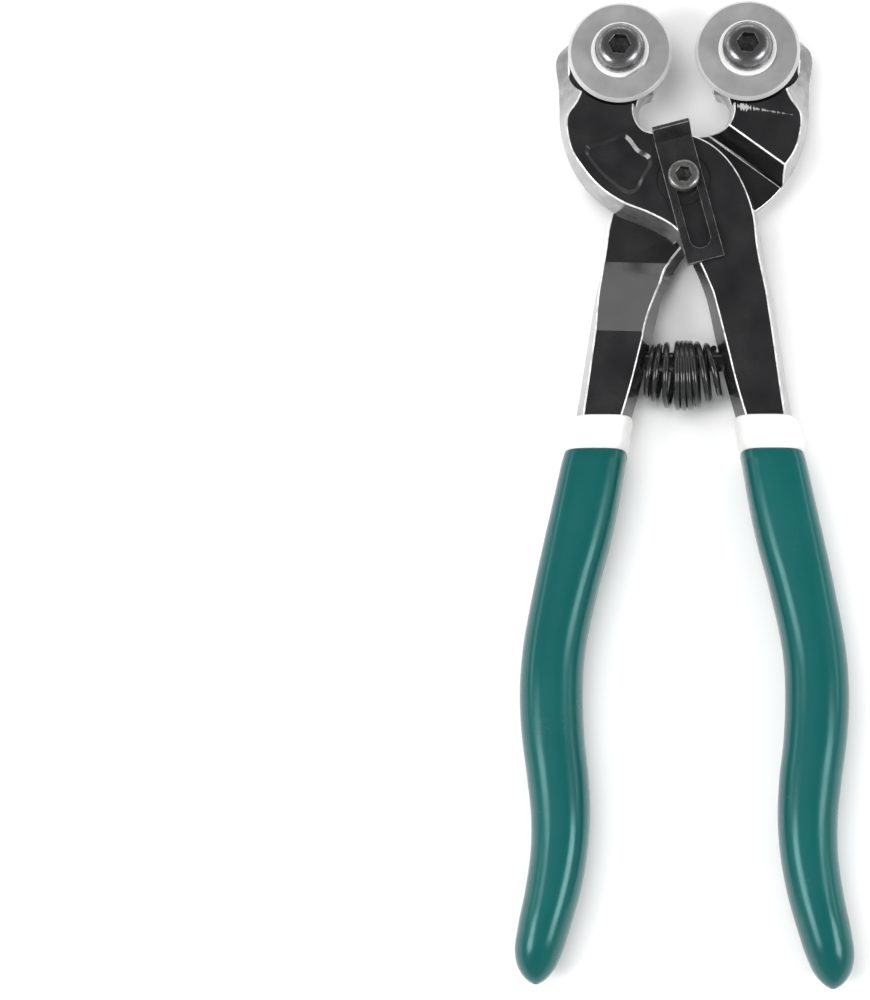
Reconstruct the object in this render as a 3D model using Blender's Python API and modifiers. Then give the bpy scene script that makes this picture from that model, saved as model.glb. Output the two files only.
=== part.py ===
"""Wheeled nipper pliers for glass and mosaic tile, lying on their back at rest.

X runs across the tool, +Y points from the pivot to the jaws and +Z points out of the front, on which the
cutting wheels and the gauge plate sit. The origin is on the pivot's axis, in the plane of the flat back.
Left is -X. Lengths below are in millimetres, and MM turns them into metres when a mesh is made.
"""

import math

import bmesh
import bpy
from mathutils import Matrix, Vector

MM = 0.001

# Fits
REST_GAP = 0.3  # between pieces that lie on each other and don't turn
FACE_PLAY = 0.2  # between flat faces that slide over each other
TURN_PLAY = 0.1  # on the radius, between a pin and the hole it turns in

# Levers: two forgings of one shape, one turned over onto the other at a half-lap joint
HEAD_THICKNESS = 15.0
PARTING_Z = HEAD_THICKNESS / 2
JAW_RAMP_FOOT = 12.65  # from the pivot to the foot of the jaw's ramp
JAW_RAMP_HEAD = 14.95  # from the pivot to its top edge
JAW_RAMP_ANGLE = math.radians(127.4)  # the way from the pivot to the front lever's jaw ramp
NECK_RAMP_FOOT = 16.1  # from the pivot to the foot of the handle's ramp
NECK_RAMP_RUN_PER_RISE = 2.31
NECK_RAMP_ANGLE = math.radians(-88.0)
STEEL_END_Y = -161.0
OUTLINE_STEPS = 4  # outline points from one knot to the next

# Wheels and what holds them
WHEEL_X = 13.3
WHEEL_Y = 27.8
WHEEL_RADIUS = 11.0
WHEEL_EDGE_Z = 15.0
WHEEL_FRONT_Z = 15.8
WHEEL_BACK_Z = 11.0
WHEEL_FACE_RADIUS = 10.3
WHEEL_HUB_RADIUS = 8.6
SEAT_Z = WHEEL_BACK_Z - FACE_PLAY
SEAT_RADIUS = 11.6
SCREW_RADIUS = 3.0  # M6
SCREW_HEAD_RADIUS = 5.25
SCREW_HEAD_HEIGHT = 3.4
SCREW_END_Z = 1.0
SCREW_HEX = 4.0  # across flats
WASHER_RADIUS = 6.05
WASHER_THICKNESS = 1.0
WASHER_FLAT = 5.5  # from the axis to the flat
WASHER_FLAT_ANGLE = math.radians(-56.6)

# Pivot and gauge
RIVET_RADIUS = 5.5
RIVET_FLANGE_RADIUS = 7.0
RIVET_FLANGE_DEPTH = 2.2
GAUGE_TILT = math.radians(14.5)  # top of the plate leans to the left
GAUGE_SCREW_RADIUS = 2.0  # M4
GAUGE_HEAD_RADIUS = 3.3
GAUGE_HEAD_HEIGHT = 2.2
GAUGE_HEX = 3.0
GAUGE_SCREW_END_Z = 7.0
PLATE_LOW_Z = HEAD_THICKNESS + FACE_PLAY
PLATE_WIDTH = 7.9
PLATE_THICKNESS = 1.1
PLATE_LOW_END = -18.4  # along the plate, from the pivot
PLATE_BEND = 8.6
LIP_LENGTH = 4.4
LIP_ANGLE = math.radians(60.0)
SLOT_WIDTH = 4.3
SLOT_LOW_END = -15.6

# Spring between the handles
SPRING_Y = -39.0
SPRING_SAG = 1.2
SPRING_HALF_LENGTH = 7.3
SPRING_END_RADIUS = 4.75  # to the middle of the wire
SPRING_MIDDLE_RADIUS = 6.75
SPRING_WIRE_RADIUS = 0.62
SPRING_TURNS = 9
SPRING_POINTS_PER_TURN = 12
SPRING_TILT = math.radians(13.0)
# Turns of wire, and how far along its half length they reach: close coils in the middle, open ones
# towards the right
SPRING_PITCH = [(0, -1.0), (1, -0.82), (2, -0.6), (3, -0.22), (6.2, 0.26), (7, 0.46), (8, 0.76), (9, 1.0)]
PEG_Y = -37.3
PEG_RADIUS = 2.05
PEG_SEAT_X = 13.2
LEFT_PEG_TIP_X = 1.9
RIGHT_PEG_TIP_X = 5.2

# Sunk panel of the lever's face
PANEL_DEPTH = 0.6

# Grips
COLLAR_TOP_Y = -49.8
COLLAR_END_Y = -56.6
NECK_END_Y = -61.5
GRIP_TOP_Y = COLLAR_END_Y - REST_GAP
SLEEVE_NECK_WALL = 0.4
RING_POINTS = 20

ROUND_STEPS = 40

# Outline of the front lever's head, from the outside of its handle round the jaw to the inside of its
# handle: x and y at the parting line, x and y at the face, and True where the outline has a corner
HEAD_KNOTS = [
    (18.5, -24.0, 17.0, -24.0, True),
    (16.7, -15.2, 15.3, -15.3, False),
    (15.3, -6.2, 14.2, -6.6, False),
    (13.9, -1.6, 12.7, -2.0, False),
    (10.3, 4.9, 9.2, 4.2, False),
    (5.9, 8.9, 5.3, 7.8, False),
    (1.2, 11.0, 1.0, 9.7, False),
    (-3.4, 11.7, -3.5, 10.0, False),
    (-7.3, 12.4, -8.4, 10.8, False),
    (-9.4, 15.0, -10.4, 14.2, False),
    (-9.1, 18.4, -10.0, 18.8, False),
    (-7.7, 20.4, -8.6, 21.1, False),
    (-6.05, 21.1, -6.7, 22.0, True),
    (-6.5, 29.6, -7.1, 29.2, True),
    (-9.4, 33.0, -9.8, 31.8, False),
    (-23.4, 33.2, -18.6, 29.6, False),
    (-26.8, 30.0, -20.2, 27.6, False),
    (-26.6, 22.0, -20.8, 21.6, False),
    (-26.4, 17.6, -22.3, 17.4, False),
    (-26.15, 14.0, -24.3, 14.2, False),
    (-25.1, 8.9, -23.9, 8.4, False),
    (-21.9, 2.0, -20.9, 2.6, False),
    (-17.7, -2.9, -17.0, -1.9, False),
    (-13.3, -6.0, -12.8, -4.8, False),
    (-7.1, -8.7, -6.6, -7.5, False),
    (-2.9, -11.3, -2.0, -10.3, False),
    (0.0, -15.0, 1.3, -14.5, False),
    (1.9, -18.2, 3.2, -17.7, False),
    (4.5, -24.0, 5.95, -24.0, True),
]

# Handle steel below the head: y, inner x, outer x, half thickness, how far the face stands in
STEEL_KNOTS = [
    (-24.0, 4.5, 18.5, 7.5, 1.5),
    (-34.0, 6.95, 20.0, 7.0, 1.55),
    (-44.0, 9.3, 21.45, 6.3, 1.65),
    (-50.0, 10.95, 22.4, 6.0, 1.75),
    (-57.0, 13.0, 23.3, 5.7, 1.9),
    (-68.0, 15.1, 25.4, 5.6, 2.1),
    (-85.0, 19.1, 29.0, 5.6, 2.1),
    (-101.0, 22.0, 31.5, 5.5, 2.1),
    (-116.0, 21.7, 31.15, 5.4, 2.1),
    (-132.0, 20.4, 29.15, 5.3, 2.0),
    (-146.5, 22.0, 30.2, 5.0, 1.9),
    (STEEL_END_Y, 27.2, 31.6, 3.9, 1.2),
]

# Slanted relief on the inside of the front lever's neck, where the two necks pass: y, then x and z on
# the wall and x and z on the ramp
NECK_RELIEF_KNOTS = [
    (-12.0, -1.6, 10.6, 0.4, 7.3),
    (-16.6, 1.45, 10.5, 3.5, 7.45),
    (-21.2, 3.65, 9.5, 5.05, 5.4),
    (-28.5, 5.75, 8.2, 7.4, 2.3),
    (-36.5, 7.1, 7.5, 8.8, -0.6),
]

# Outside of the dipped grip: y, inner x, outer x, half thickness, squareness of the section
GRIP_KNOTS = [
    (GRIP_TOP_Y, 11.65, 24.7, 7.4, 3.2),
    (-68.0, 13.45, 27.05, 7.3, 3.0),
    (-76.0, 15.1, 28.8, 7.25, 2.8),
    (-85.0, 17.4, 30.65, 7.2, 2.6),
    (-101.0, 20.35, 33.15, 7.1, 2.4),
    (-108.0, 20.5, 33.35, 7.05, 2.4),
    (-116.0, 20.1, 32.8, 7.0, 2.4),
    (-124.0, 19.2, 31.7, 6.95, 2.4),
    (-132.0, 18.85, 30.8, 6.9, 2.4),
    (-138.5, 19.25, 30.8, 6.8, 2.4),
    (-146.5, 20.6, 31.8, 6.6, 2.3),
    (-154.3, 22.75, 33.3, 6.2, 2.2),
    (-159.3, 24.4, 33.8, 5.5, 2.1),
    (-162.8, 26.1, 32.8, 4.0, 2.0),
    (-164.7, 27.9, 31.2, 2.2, 2.0),
    (-165.4, 29.1, 30.0, 0.8, 2.0),
]

# Outside of the white under-sleeve where it shows as a collar, the same way
COLLAR_KNOTS = [
    (COLLAR_TOP_Y, 10.4, 23.0, 7.0, 3.4),
    (-50.5, 10.5, 23.6, 7.15, 3.4),
    (-52.0, 10.8, 24.0, 7.25, 3.3),
    (COLLAR_END_Y, 11.7, 24.6, 7.35, 3.2),
]

# Sunk panel on the lever's face: x and y of its edge, then of its floor's edge
PANEL_KNOTS = [
    (-20.4, 7.6, -19.5, 7.0),
    (-16.2, 8.6, -16.1, 7.9),
    (-12.2, 10.0, -12.4, 9.2),
    (-10.9, 8.9, -11.5, 8.4),
    (-9.4, 6.8, -10.0, 6.3),
    (-6.7, 4.9, -7.5, 4.4),
    (-6.5, 3.4, -7.4, 3.6),
    (-8.1, 0.6, -8.8, 0.9),
    (-9.8, -2.6, -10.3, -1.9),
    (-11.4, -3.0, -11.2, -2.2),
    (-15.2, -0.5, -14.8, 0.1),
    (-18.8, 3.2, -18.2, 3.7),
    (-20.6, 6.6, -19.7, 6.3),
]


def clear_scene():
    for obj in list(bpy.data.objects):
        bpy.data.objects.remove(obj, do_unlink=True)


def make_collection(name):
    collection = bpy.data.collections.new(name)
    bpy.context.scene.collection.children.link(collection)
    return collection


def make_material(name, colour, roughness, metallic):
    material = bpy.data.materials.new(name)
    material.use_nodes = True
    shader = material.node_tree.nodes["Principled BSDF"]
    shader.inputs["Base Color"].default_value = (*colour, 1.0)
    shader.inputs["Roughness"].default_value = roughness
    shader.inputs["Metallic"].default_value = metallic
    material.diffuse_color = (*colour, 1.0)
    return material


def spline(knots, steps, corners=()):
    """Points on a smooth curve through the knots, whose first two values set its pace. It has a sharp
    corner at each knot whose index is in corners."""
    last = len(knots) - 1
    spans = [math.dist(a[:2], b[:2]) for a, b in zip(knots, knots[1:])]
    points = []
    for i in range(last):
        leave = chord_slope(knots, spans, i, i > 0 and i not in corners)
        arrive = chord_slope(knots, spans, i + 1, i + 1 < last and i + 1 not in corners)
        for step in range(steps):
            leave_i = leave or slope_between(knots[i], knots[i + 1], spans[i])
            arrive_i = arrive or slope_between(knots[i], knots[i + 1], spans[i])
            points.append(hermite(knots[i], knots[i + 1], leave_i, arrive_i, spans[i], step / steps))
    points.append(tuple(knots[last]))
    return points


def slope_between(start, end, span):
    return [(b - a) / span for a, b in zip(start, end)]


def chord_slope(knots, spans, i, smooth):
    """The curve's slope at knot i, weighed by how near its neighbours are, or None at a corner."""
    if not smooth:
        return None
    before, after = spans[i - 1], spans[i]
    into = slope_between(knots[i - 1], knots[i], before)
    out_of = slope_between(knots[i], knots[i + 1], after)
    return [(a * after + b * before) / (before + after) for a, b in zip(into, out_of)]


def hermite(start, end, leave, arrive, span, t):
    """The point at share t of one span."""
    return tuple(
        a * (2 * t**3 - 3 * t**2 + 1)
        + b * (3 * t**2 - 2 * t**3)
        + span * c * (t**3 - 2 * t**2 + t)
        + span * d * (t**3 - t**2)
        for a, b, c, d in zip(start, end, leave, arrive)
    )


def section_at(knots, y):
    """The values after y of a list of sections, read by straight interpolation."""
    for upper, lower in zip(knots, knots[1:]):
        if y >= lower[0]:
            share = (y - upper[0]) / (lower[0] - upper[0])
            return tuple(a + (b - a) * share for a, b in zip(upper[1:], lower[1:]))
    return tuple(knots[-1][1:])


def link_mesh(name, bm, collection, material, origin=(0.0, 0.0, 0.0)):
    """An object at origin, from a mesh built in millimetres about the world's origin."""
    bmesh.ops.translate(bm, verts=bm.verts, vec=-Vector(origin))
    bmesh.ops.scale(bm, vec=(MM, MM, MM), verts=bm.verts)
    bmesh.ops.recalc_face_normals(bm, faces=bm.faces)
    mesh = bpy.data.meshes.new(name)
    bm.to_mesh(mesh)
    bm.free()
    mesh.shade_smooth()
    mesh.set_sharp_from_angle(angle=math.radians(35.0))
    if material:
        mesh.materials.append(material)
    obj = bpy.data.objects.new(name, mesh)
    obj.location = Vector(origin) * MM
    collection.objects.link(obj)
    return obj


def cutter(name, bm, collection):
    obj = link_mesh(name, bm, collection, None)
    obj.hide_render = True
    obj.display_type = "WIRE"
    return obj


def cut(obj, tool):
    boolean = obj.modifiers.new("cut_" + tool.name, "BOOLEAN")
    boolean.operation = "DIFFERENCE"
    boolean.solver = "EXACT"
    boolean.object = tool


def cylinder(radius, low, high, x=0.0, y=0.0, segments=ROUND_STEPS):
    """A closed cylinder along Z, as a bmesh."""
    bm = bmesh.new()
    bmesh.ops.create_cone(
        bm, cap_ends=True, segments=segments, radius1=radius, radius2=radius, depth=high - low
    )
    bmesh.ops.translate(bm, verts=bm.verts, vec=(x, y, (low + high) / 2))
    return bm


def block(size, centre, turn=0.0):
    """A box turned about its own Z axis, as a bmesh."""
    bm = bmesh.new()
    bmesh.ops.create_cube(bm, size=1.0)
    bmesh.ops.scale(bm, vec=size, verts=bm.verts)
    bmesh.ops.rotate(bm, cent=(0, 0, 0), matrix=Matrix.Rotation(turn, 3, "Z"), verts=bm.verts)
    bmesh.ops.translate(bm, verts=bm.verts, vec=centre)
    return bm


def hexagonal_prism(across_flats, low, high, x, y, turn):
    corner_radius = across_flats / 2 / math.cos(math.pi / 6)
    bm = cylinder(corner_radius, low, high, 0.0, 0.0, segments=6)
    bmesh.ops.rotate(bm, cent=(0, 0, 0), matrix=Matrix.Rotation(turn, 3, "Z"), verts=bm.verts)
    bmesh.ops.translate(bm, verts=bm.verts, vec=(x, y, 0.0))
    return bm


def turned(name, profile, axis_xy, collection, material):
    """A turned piece from its profile (radius, z), which runs down the outer side."""
    mesh = bpy.data.meshes.new(name)
    points = [(radius * MM, 0.0, z * MM) for radius, z in profile]
    edges = [(i, i + 1) for i in range(len(points) - 1)]
    if profile[0][0] > 0:
        edges.append((len(points) - 1, 0))
    mesh.from_pydata(points, edges, [])
    mesh.materials.append(material)
    obj = bpy.data.objects.new(name, mesh)
    obj.location = (axis_xy[0] * MM, axis_xy[1] * MM, 0.0)
    collection.objects.link(obj)
    screw = obj.modifiers.new("turn", "SCREW")
    screw.axis = "Z"
    screw.angle = 2 * math.pi
    screw.steps = ROUND_STEPS
    screw.render_steps = ROUND_STEPS
    screw.use_merge_vertices = True
    screw.merge_threshold = 0.00001
    screw.use_smooth_shade = True
    return obj


def loft(rings, bm=None):
    """Closed rings of the same number of points, joined one to the next and capped at both ends."""
    bm = bm or bmesh.new()
    rows = [[bm.verts.new(point) for point in ring] for ring in rings]
    count = len(rows[0])
    for upper, lower in zip(rows, rows[1:]):
        for i in range(count):
            j = (i + 1) % count
            bm.faces.new((upper[i], upper[j], lower[j], lower[i]))
    bm.faces.new(rows[0])
    bm.faces.new(reversed(rows[-1]))
    return bm


def oval_ring(section):
    """Points of a rounded section (y, inner x, outer x, half thickness, squareness)."""
    y, inner, outer, half_thickness, squareness = section
    middle = (inner + outer) / 2
    half_width = (outer - inner) / 2
    power = 2 / squareness
    ring = []
    for i in range(RING_POINTS):
        angle = 2 * math.pi * i / RING_POINTS
        across, up = math.cos(angle), math.sin(angle)
        x = middle + half_width * math.copysign(abs(across) ** power, across)
        z = PARTING_Z + half_thickness * math.copysign(abs(up) ** power, up)
        ring.append((x, y, z))
    return ring


def steel_ring(section, grow=0.0):
    """The six-sided section of the handle steel, grown by that much all round."""
    y, inner, outer, half_thickness, inset = section
    side = grow * 1.15
    half = half_thickness + grow
    shoulder = inset + side - grow * 0.6
    return [
        (inner - side, y, PARTING_Z),
        (inner - side + shoulder, y, PARTING_Z + half),
        (outer + side - shoulder, y, PARTING_Z + half),
        (outer + side, y, PARTING_Z),
        (outer + side - shoulder, y, PARTING_Z - half),
        (inner - side + shoulder, y, PARTING_Z - half),
    ]


def steel_sections(top, bottom):
    """The handle steel's sections from the height top down to bottom."""
    sections = [section for section in spline(STEEL_KNOTS, 2) if bottom <= section[0] <= top]
    if sections[0][0] < top:
        sections.insert(0, (top, *section_at(STEEL_KNOTS, top)))
    if sections[-1][0] > bottom:
        sections.append((bottom, *section_at(STEEL_KNOTS, bottom)))
    return sections


def head_outline():
    """The head's outline as (x, y, face x, face y), dense on its round stretches."""
    corners = {i for i, knot in enumerate(HEAD_KNOTS) if knot[4]}
    return spline([knot[:4] for knot in HEAD_KNOTS], OUTLINE_STEPS, corners)


def lever_body():
    """The front lever before it is machined: a drafted head and, below its neck, the handle's loft."""
    bm = bmesh.new()
    outline = head_outline()
    rim = [bm.verts.new((x, y, PARTING_Z)) for x, y, _, _ in outline]
    front = [bm.verts.new((x, y, HEAD_THICKNESS)) for _, _, x, y in outline]
    back = [bm.verts.new((x, y, 0.0)) for _, _, x, y in outline]
    for i in range(len(rim) - 1):
        bm.faces.new((rim[i], rim[i + 1], front[i + 1], front[i]))
        bm.faces.new((rim[i + 1], rim[i], back[i], back[i + 1]))
    bm.faces.new(front)
    bm.faces.new(reversed(back))
    row = [rim[-1], front[-1], front[0], rim[0], back[0], back[-1]]
    for section in steel_sections(STEEL_KNOTS[0][0], STEEL_END_Y)[1:]:
        lower = [bm.verts.new(point) for point in steel_ring(section)]
        for i in range(6):
            j = (i + 1) % 6
            bm.faces.new((row[i], row[j], lower[j], lower[i]))
        row = lower
    bm.faces.new(reversed(row))
    return bm


def turn_over(bm):
    """The rear lever is the front one's forging turned over about the Y axis."""
    half_turn = Matrix.Rotation(math.pi, 3, "Y")
    bmesh.ops.rotate(bm, cent=(0, 0, PARTING_Z), matrix=half_turn, verts=bm.verts)
    return bm


def half_plane_point(angle, distance, x):
    """The point at x on the line that is square to the angle at a distance from the pivot."""
    return (x, (distance - x * math.cos(angle)) / math.sin(angle))


def lap_cutter():
    """What is milled from the front lever's back to lay it over the rear one, with its two ramps."""
    top = PARTING_Z + REST_GAP / 2
    bottom = -1.0
    reach = 32.0
    jaw_slope = (JAW_RAMP_HEAD - JAW_RAMP_FOOT) / top
    rings = []
    for z in (top, bottom):
        jaw = JAW_RAMP_FOOT + jaw_slope * (top - z)
        neck = NECK_RAMP_FOOT + NECK_RAMP_RUN_PER_RISE * (top - z)
        corners = [
            half_plane_point(JAW_RAMP_ANGLE, jaw, -reach),
            half_plane_point(NECK_RAMP_ANGLE, neck, -reach),
            half_plane_point(NECK_RAMP_ANGLE, neck, reach),
            half_plane_point(JAW_RAMP_ANGLE, jaw, reach),
        ]
        rings.append([(x, y, z) for x, y in corners])
    return loft(rings)


def neck_relief_cutter():
    """What the relief takes off the back of the front lever's neck."""
    over = 0.35  # how far the slanted face runs on past each of its edges, as a share of its width
    clear = 2.0
    rings = []
    for y, wall_x, wall_z, ramp_x, ramp_z in NECK_RELIEF_KNOTS:
        run, rise = (wall_x - ramp_x) * over, (wall_z - ramp_z) * over
        top_x, top_z = wall_x + run, wall_z + rise
        low_x, low_z = ramp_x - run, ramp_z - rise
        outside = top_x - clear
        rings.append([(top_x, y, top_z), (low_x, y, low_z), (outside, y, low_z), (outside, y, top_z)])
    return loft(rings)


def panel_cutter():
    """The sunk panel in the front lever's face, with sloping walls."""
    outline = spline([*PANEL_KNOTS, PANEL_KNOTS[0]], 3)[:-1]
    floor = HEAD_THICKNESS - PANEL_DEPTH
    over = HEAD_THICKNESS + 1.0
    return loft(
        [
            [(x, y, over) for x, y, _, _ in outline],
            [(x, y, HEAD_THICKNESS) for x, y, _, _ in outline],
            [(x, y, floor) for _, _, x, y in outline],
        ]
    )


def cut_wheel_seat(lever, side, cutters):
    x = side * WHEEL_X
    name = lever.name
    cut(lever, cutter(name + "_seat", cylinder(SEAT_RADIUS, SEAT_Z, 18.0, x, WHEEL_Y), cutters))
    bore = cylinder(SCREW_RADIUS + TURN_PLAY, -1.0, 18.0, x, WHEEL_Y)
    cut(lever, cutter(name + "_screw_hole", bore, cutters))


def cut_peg_hole(lever, side, cutters):
    bm = cylinder(PEG_RADIUS + TURN_PLAY, 0.0, PEG_SEAT_X + 0.3, segments=24)
    bmesh.ops.rotate(bm, cent=(0, 0, 0), matrix=Matrix.Rotation(math.pi / 2, 3, "Y"), verts=bm.verts)
    if side < 0:
        bmesh.ops.rotate(bm, cent=(0, 0, 0), matrix=Matrix.Rotation(math.pi, 3, "Z"), verts=bm.verts)
    bmesh.ops.translate(bm, verts=bm.verts, vec=(0.0, PEG_Y, PARTING_Z))
    cut(lever, cutter(lever.name + "_peg_hole", bm, cutters))


def make_front_lever(parts, cutters, steel):
    lever = link_mesh("front_lever", lever_body(), parts, steel)
    cut(lever, cutter("front_lap", lap_cutter(), cutters))
    cut(lever, cutter("front_neck_relief", neck_relief_cutter(), cutters))
    cut(lever, cutter("front_panel", panel_cutter(), cutters))
    pivot_hole = cylinder(RIVET_RADIUS + TURN_PLAY, 5.0, 17.0)
    cut(lever, cutter("front_pivot_hole", pivot_hole, cutters))
    cut_wheel_seat(lever, -1, cutters)
    cut_peg_hole(lever, 1, cutters)


def make_rear_lever(parts, cutters, steel):
    lever = link_mesh("rear_lever", turn_over(lever_body()), parts, steel)
    cut(lever, cutter("rear_lap", turn_over(lap_cutter()), cutters))
    cut(lever, cutter("rear_neck_relief", turn_over(neck_relief_cutter()), cutters))
    cut(lever, cutter("rear_panel", turn_over(panel_cutter()), cutters))
    cut(lever, cutter("rear_pivot_hole", cylinder(RIVET_RADIUS + TURN_PLAY, -1.0, 9.0), cutters))
    bm = bmesh.new()
    over = 1.0
    bmesh.ops.create_cone(
        bm,
        cap_ends=True,
        segments=ROUND_STEPS,
        radius1=RIVET_FLANGE_RADIUS + TURN_PLAY + over,
        radius2=RIVET_RADIUS + TURN_PLAY,
        depth=RIVET_FLANGE_DEPTH + over,
    )
    bmesh.ops.translate(bm, verts=bm.verts, vec=(0, 0, (RIVET_FLANGE_DEPTH - over) / 2 + FACE_PLAY))
    cut(lever, cutter("rear_countersink", bm, cutters))
    cut_wheel_seat(lever, 1, cutters)
    cut_peg_hole(lever, -1, cutters)


def make_pivot_rivet(parts, steel):
    hole = GAUGE_SCREW_RADIUS + TURN_PLAY
    profile = [
        (0.0, GAUGE_SCREW_END_Z - 0.5),
        (hole, GAUGE_SCREW_END_Z),
        (hole, HEAD_THICKNESS),
        (RIVET_RADIUS, HEAD_THICKNESS),
        (RIVET_RADIUS, RIVET_FLANGE_DEPTH),
        (RIVET_FLANGE_RADIUS, 0.6),
        (RIVET_FLANGE_RADIUS, 0.0),
        (0.0, 0.0),
    ]
    turned("pivot_rivet", profile, (0.0, 0.0), parts, steel)


def make_wheel(name, side, parts, carbide):
    bore = SCREW_RADIUS + TURN_PLAY
    profile = [
        (bore, WHEEL_FRONT_Z),
        (WHEEL_FACE_RADIUS, WHEEL_FRONT_Z),
        (WHEEL_RADIUS, WHEEL_EDGE_Z),
        (WHEEL_RADIUS - 0.05, WHEEL_EDGE_Z - 0.3),
        (WHEEL_HUB_RADIUS, WHEEL_EDGE_Z - 2.4),
        (WHEEL_HUB_RADIUS, WHEEL_BACK_Z),
        (bore, WHEEL_BACK_Z),
    ]
    turned(name, profile, (side * WHEEL_X, WHEEL_Y), parts, carbide)


def make_wheel_washer(name, side, parts, cutters, nickel):
    low = WHEEL_FRONT_Z + TURN_PLAY
    high = low + WASHER_THICKNESS
    bore = SCREW_RADIUS + TURN_PLAY
    chamfer = 0.15
    profile = [
        (bore, high),
        (WASHER_RADIUS - chamfer, high),
        (WASHER_RADIUS, high - chamfer),
        (WASHER_RADIUS, low),
        (bore, low),
    ]
    washer = turned(name, profile, (side * WHEEL_X, WHEEL_Y), parts, nickel)
    if side < 0:
        reach = WASHER_FLAT + 2.0
        centre = (
            side * WHEEL_X + reach * math.cos(WASHER_FLAT_ANGLE),
            WHEEL_Y + reach * math.sin(WASHER_FLAT_ANGLE),
            (low + high) / 2,
        )
        flat = block((4.0, 14.0, 4.0), centre, WASHER_FLAT_ANGLE)
        cut(washer, cutter(name + "_flat", flat, cutters))


def make_wheel_screw(name, side, parts, cutters, blackened):
    seat = WHEEL_FRONT_Z + TURN_PLAY + WASHER_THICKNESS + TURN_PLAY
    crown = seat + SCREW_HEAD_HEIGHT
    straight = 0.9
    flat_radius = 2.7
    profile = [(0.0, crown), (flat_radius, crown)]
    dome_steps = 6
    for i in range(1, dome_steps + 1):
        angle = math.pi / 2 * (1 - i / dome_steps)
        radius = flat_radius + (SCREW_HEAD_RADIUS - flat_radius) * math.cos(angle)
        profile.append((radius, seat + straight + (SCREW_HEAD_HEIGHT - straight) * math.sin(angle)))
    profile += [
        (SCREW_HEAD_RADIUS, seat + 0.3),
        (SCREW_HEAD_RADIUS - 0.3, seat),
        (SCREW_RADIUS, seat),
        (SCREW_RADIUS, SCREW_END_Z + 0.6),
        (SCREW_RADIUS - 0.6, SCREW_END_Z),
        (0.0, SCREW_END_Z),
    ]
    screw = turned(name, profile, (side * WHEEL_X, WHEEL_Y), parts, blackened)
    depth = 2.2
    socket = hexagonal_prism(SCREW_HEX, crown - depth, crown + 1.0, side * WHEEL_X, WHEEL_Y, math.pi / 2)
    cut(screw, cutter(name + "_socket", socket, cutters))


def make_gauge_screw(parts, cutters, nickel):
    seat = PLATE_LOW_Z + PLATE_THICKNESS + FACE_PLAY
    crown = seat + GAUGE_HEAD_HEIGHT
    chamfer = 0.35
    profile = [
        (0.0, crown),
        (GAUGE_HEAD_RADIUS - chamfer, crown),
        (GAUGE_HEAD_RADIUS, crown - chamfer),
        (GAUGE_HEAD_RADIUS, seat),
        (GAUGE_SCREW_RADIUS, seat),
        (GAUGE_SCREW_RADIUS, GAUGE_SCREW_END_Z + 0.4),
        (0.0, GAUGE_SCREW_END_Z + 0.4),
    ]
    screw = turned("gauge_screw", profile, (0.0, 0.0), parts, nickel)
    socket = hexagonal_prism(GAUGE_HEX, crown - 1.4, crown + 1.0, 0.0, 0.0, math.pi / 2)
    cut(screw, cutter("gauge_screw_socket", socket, cutters))


def make_gauge_plate(parts, cutters, black_sheet):
    """Bent sheet: an open strip along the plate and up its lip, made solid by Solidify."""
    low = PLATE_LOW_Z + PLATE_THICKNESS / 2
    bend_radius = 1.3
    bend_steps = 5
    line = [(PLATE_LOW_END, low)]
    for i in range(bend_steps + 1):
        angle = LIP_ANGLE * i / bend_steps
        along = PLATE_BEND + bend_radius * (math.sin(angle) - math.tan(LIP_ANGLE / 2))
        line.append((along, low + bend_radius * (1 - math.cos(angle))))
    line.append((PLATE_BEND + LIP_LENGTH * math.cos(LIP_ANGLE), low + LIP_LENGTH * math.sin(LIP_ANGLE)))
    bm = bmesh.new()
    sides = []
    for x in (-PLATE_WIDTH / 2, PLATE_WIDTH / 2):
        sides.append([bm.verts.new((x, y, z)) for y, z in line])
    for i in range(len(line) - 1):
        bm.faces.new((sides[0][i], sides[1][i], sides[1][i + 1], sides[0][i + 1]))
    tilt = Matrix.Rotation(GAUGE_TILT, 3, "Z")
    bmesh.ops.rotate(bm, cent=(0, 0, 0), matrix=tilt, verts=bm.verts)
    plate = link_mesh("gauge_plate", bm, parts, black_sheet)
    shell = plate.modifiers.new("sheet", "SOLIDIFY")
    shell.thickness = PLATE_THICKNESS * MM
    shell.offset = 0.0
    shell.use_even_offset = True
    ends = [(0.0, SLOT_LOW_END + SLOT_WIDTH / 2), (0.0, 0.0)]
    for i, (x, y) in enumerate(ends):
        bm = cylinder(SLOT_WIDTH / 2, low - 3.0, low + 3.0, x, y, segments=24)
        bmesh.ops.rotate(bm, cent=(0, 0, 0), matrix=tilt, verts=bm.verts)
        cut(plate, cutter(f"gauge_slot_end_{i}", bm, cutters))
    length = ends[1][1] - ends[0][1]
    bm = block((SLOT_WIDTH, length, 6.0), (0.0, ends[0][1] + length / 2, low))
    bmesh.ops.rotate(bm, cent=(0, 0, 0), matrix=tilt, verts=bm.verts)
    cut(plate, cutter("gauge_slot", bm, cutters))


def spring_turns_to_x(turn):
    """Where along X the wire is after that many turns."""
    for (turn_a, x_a), (turn_b, x_b) in zip(SPRING_PITCH, SPRING_PITCH[1:]):
        if turn <= turn_b:
            return SPRING_HALF_LENGTH * (x_a + (x_b - x_a) * (turn - turn_a) / (turn_b - turn_a))
    return SPRING_HALF_LENGTH


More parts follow.
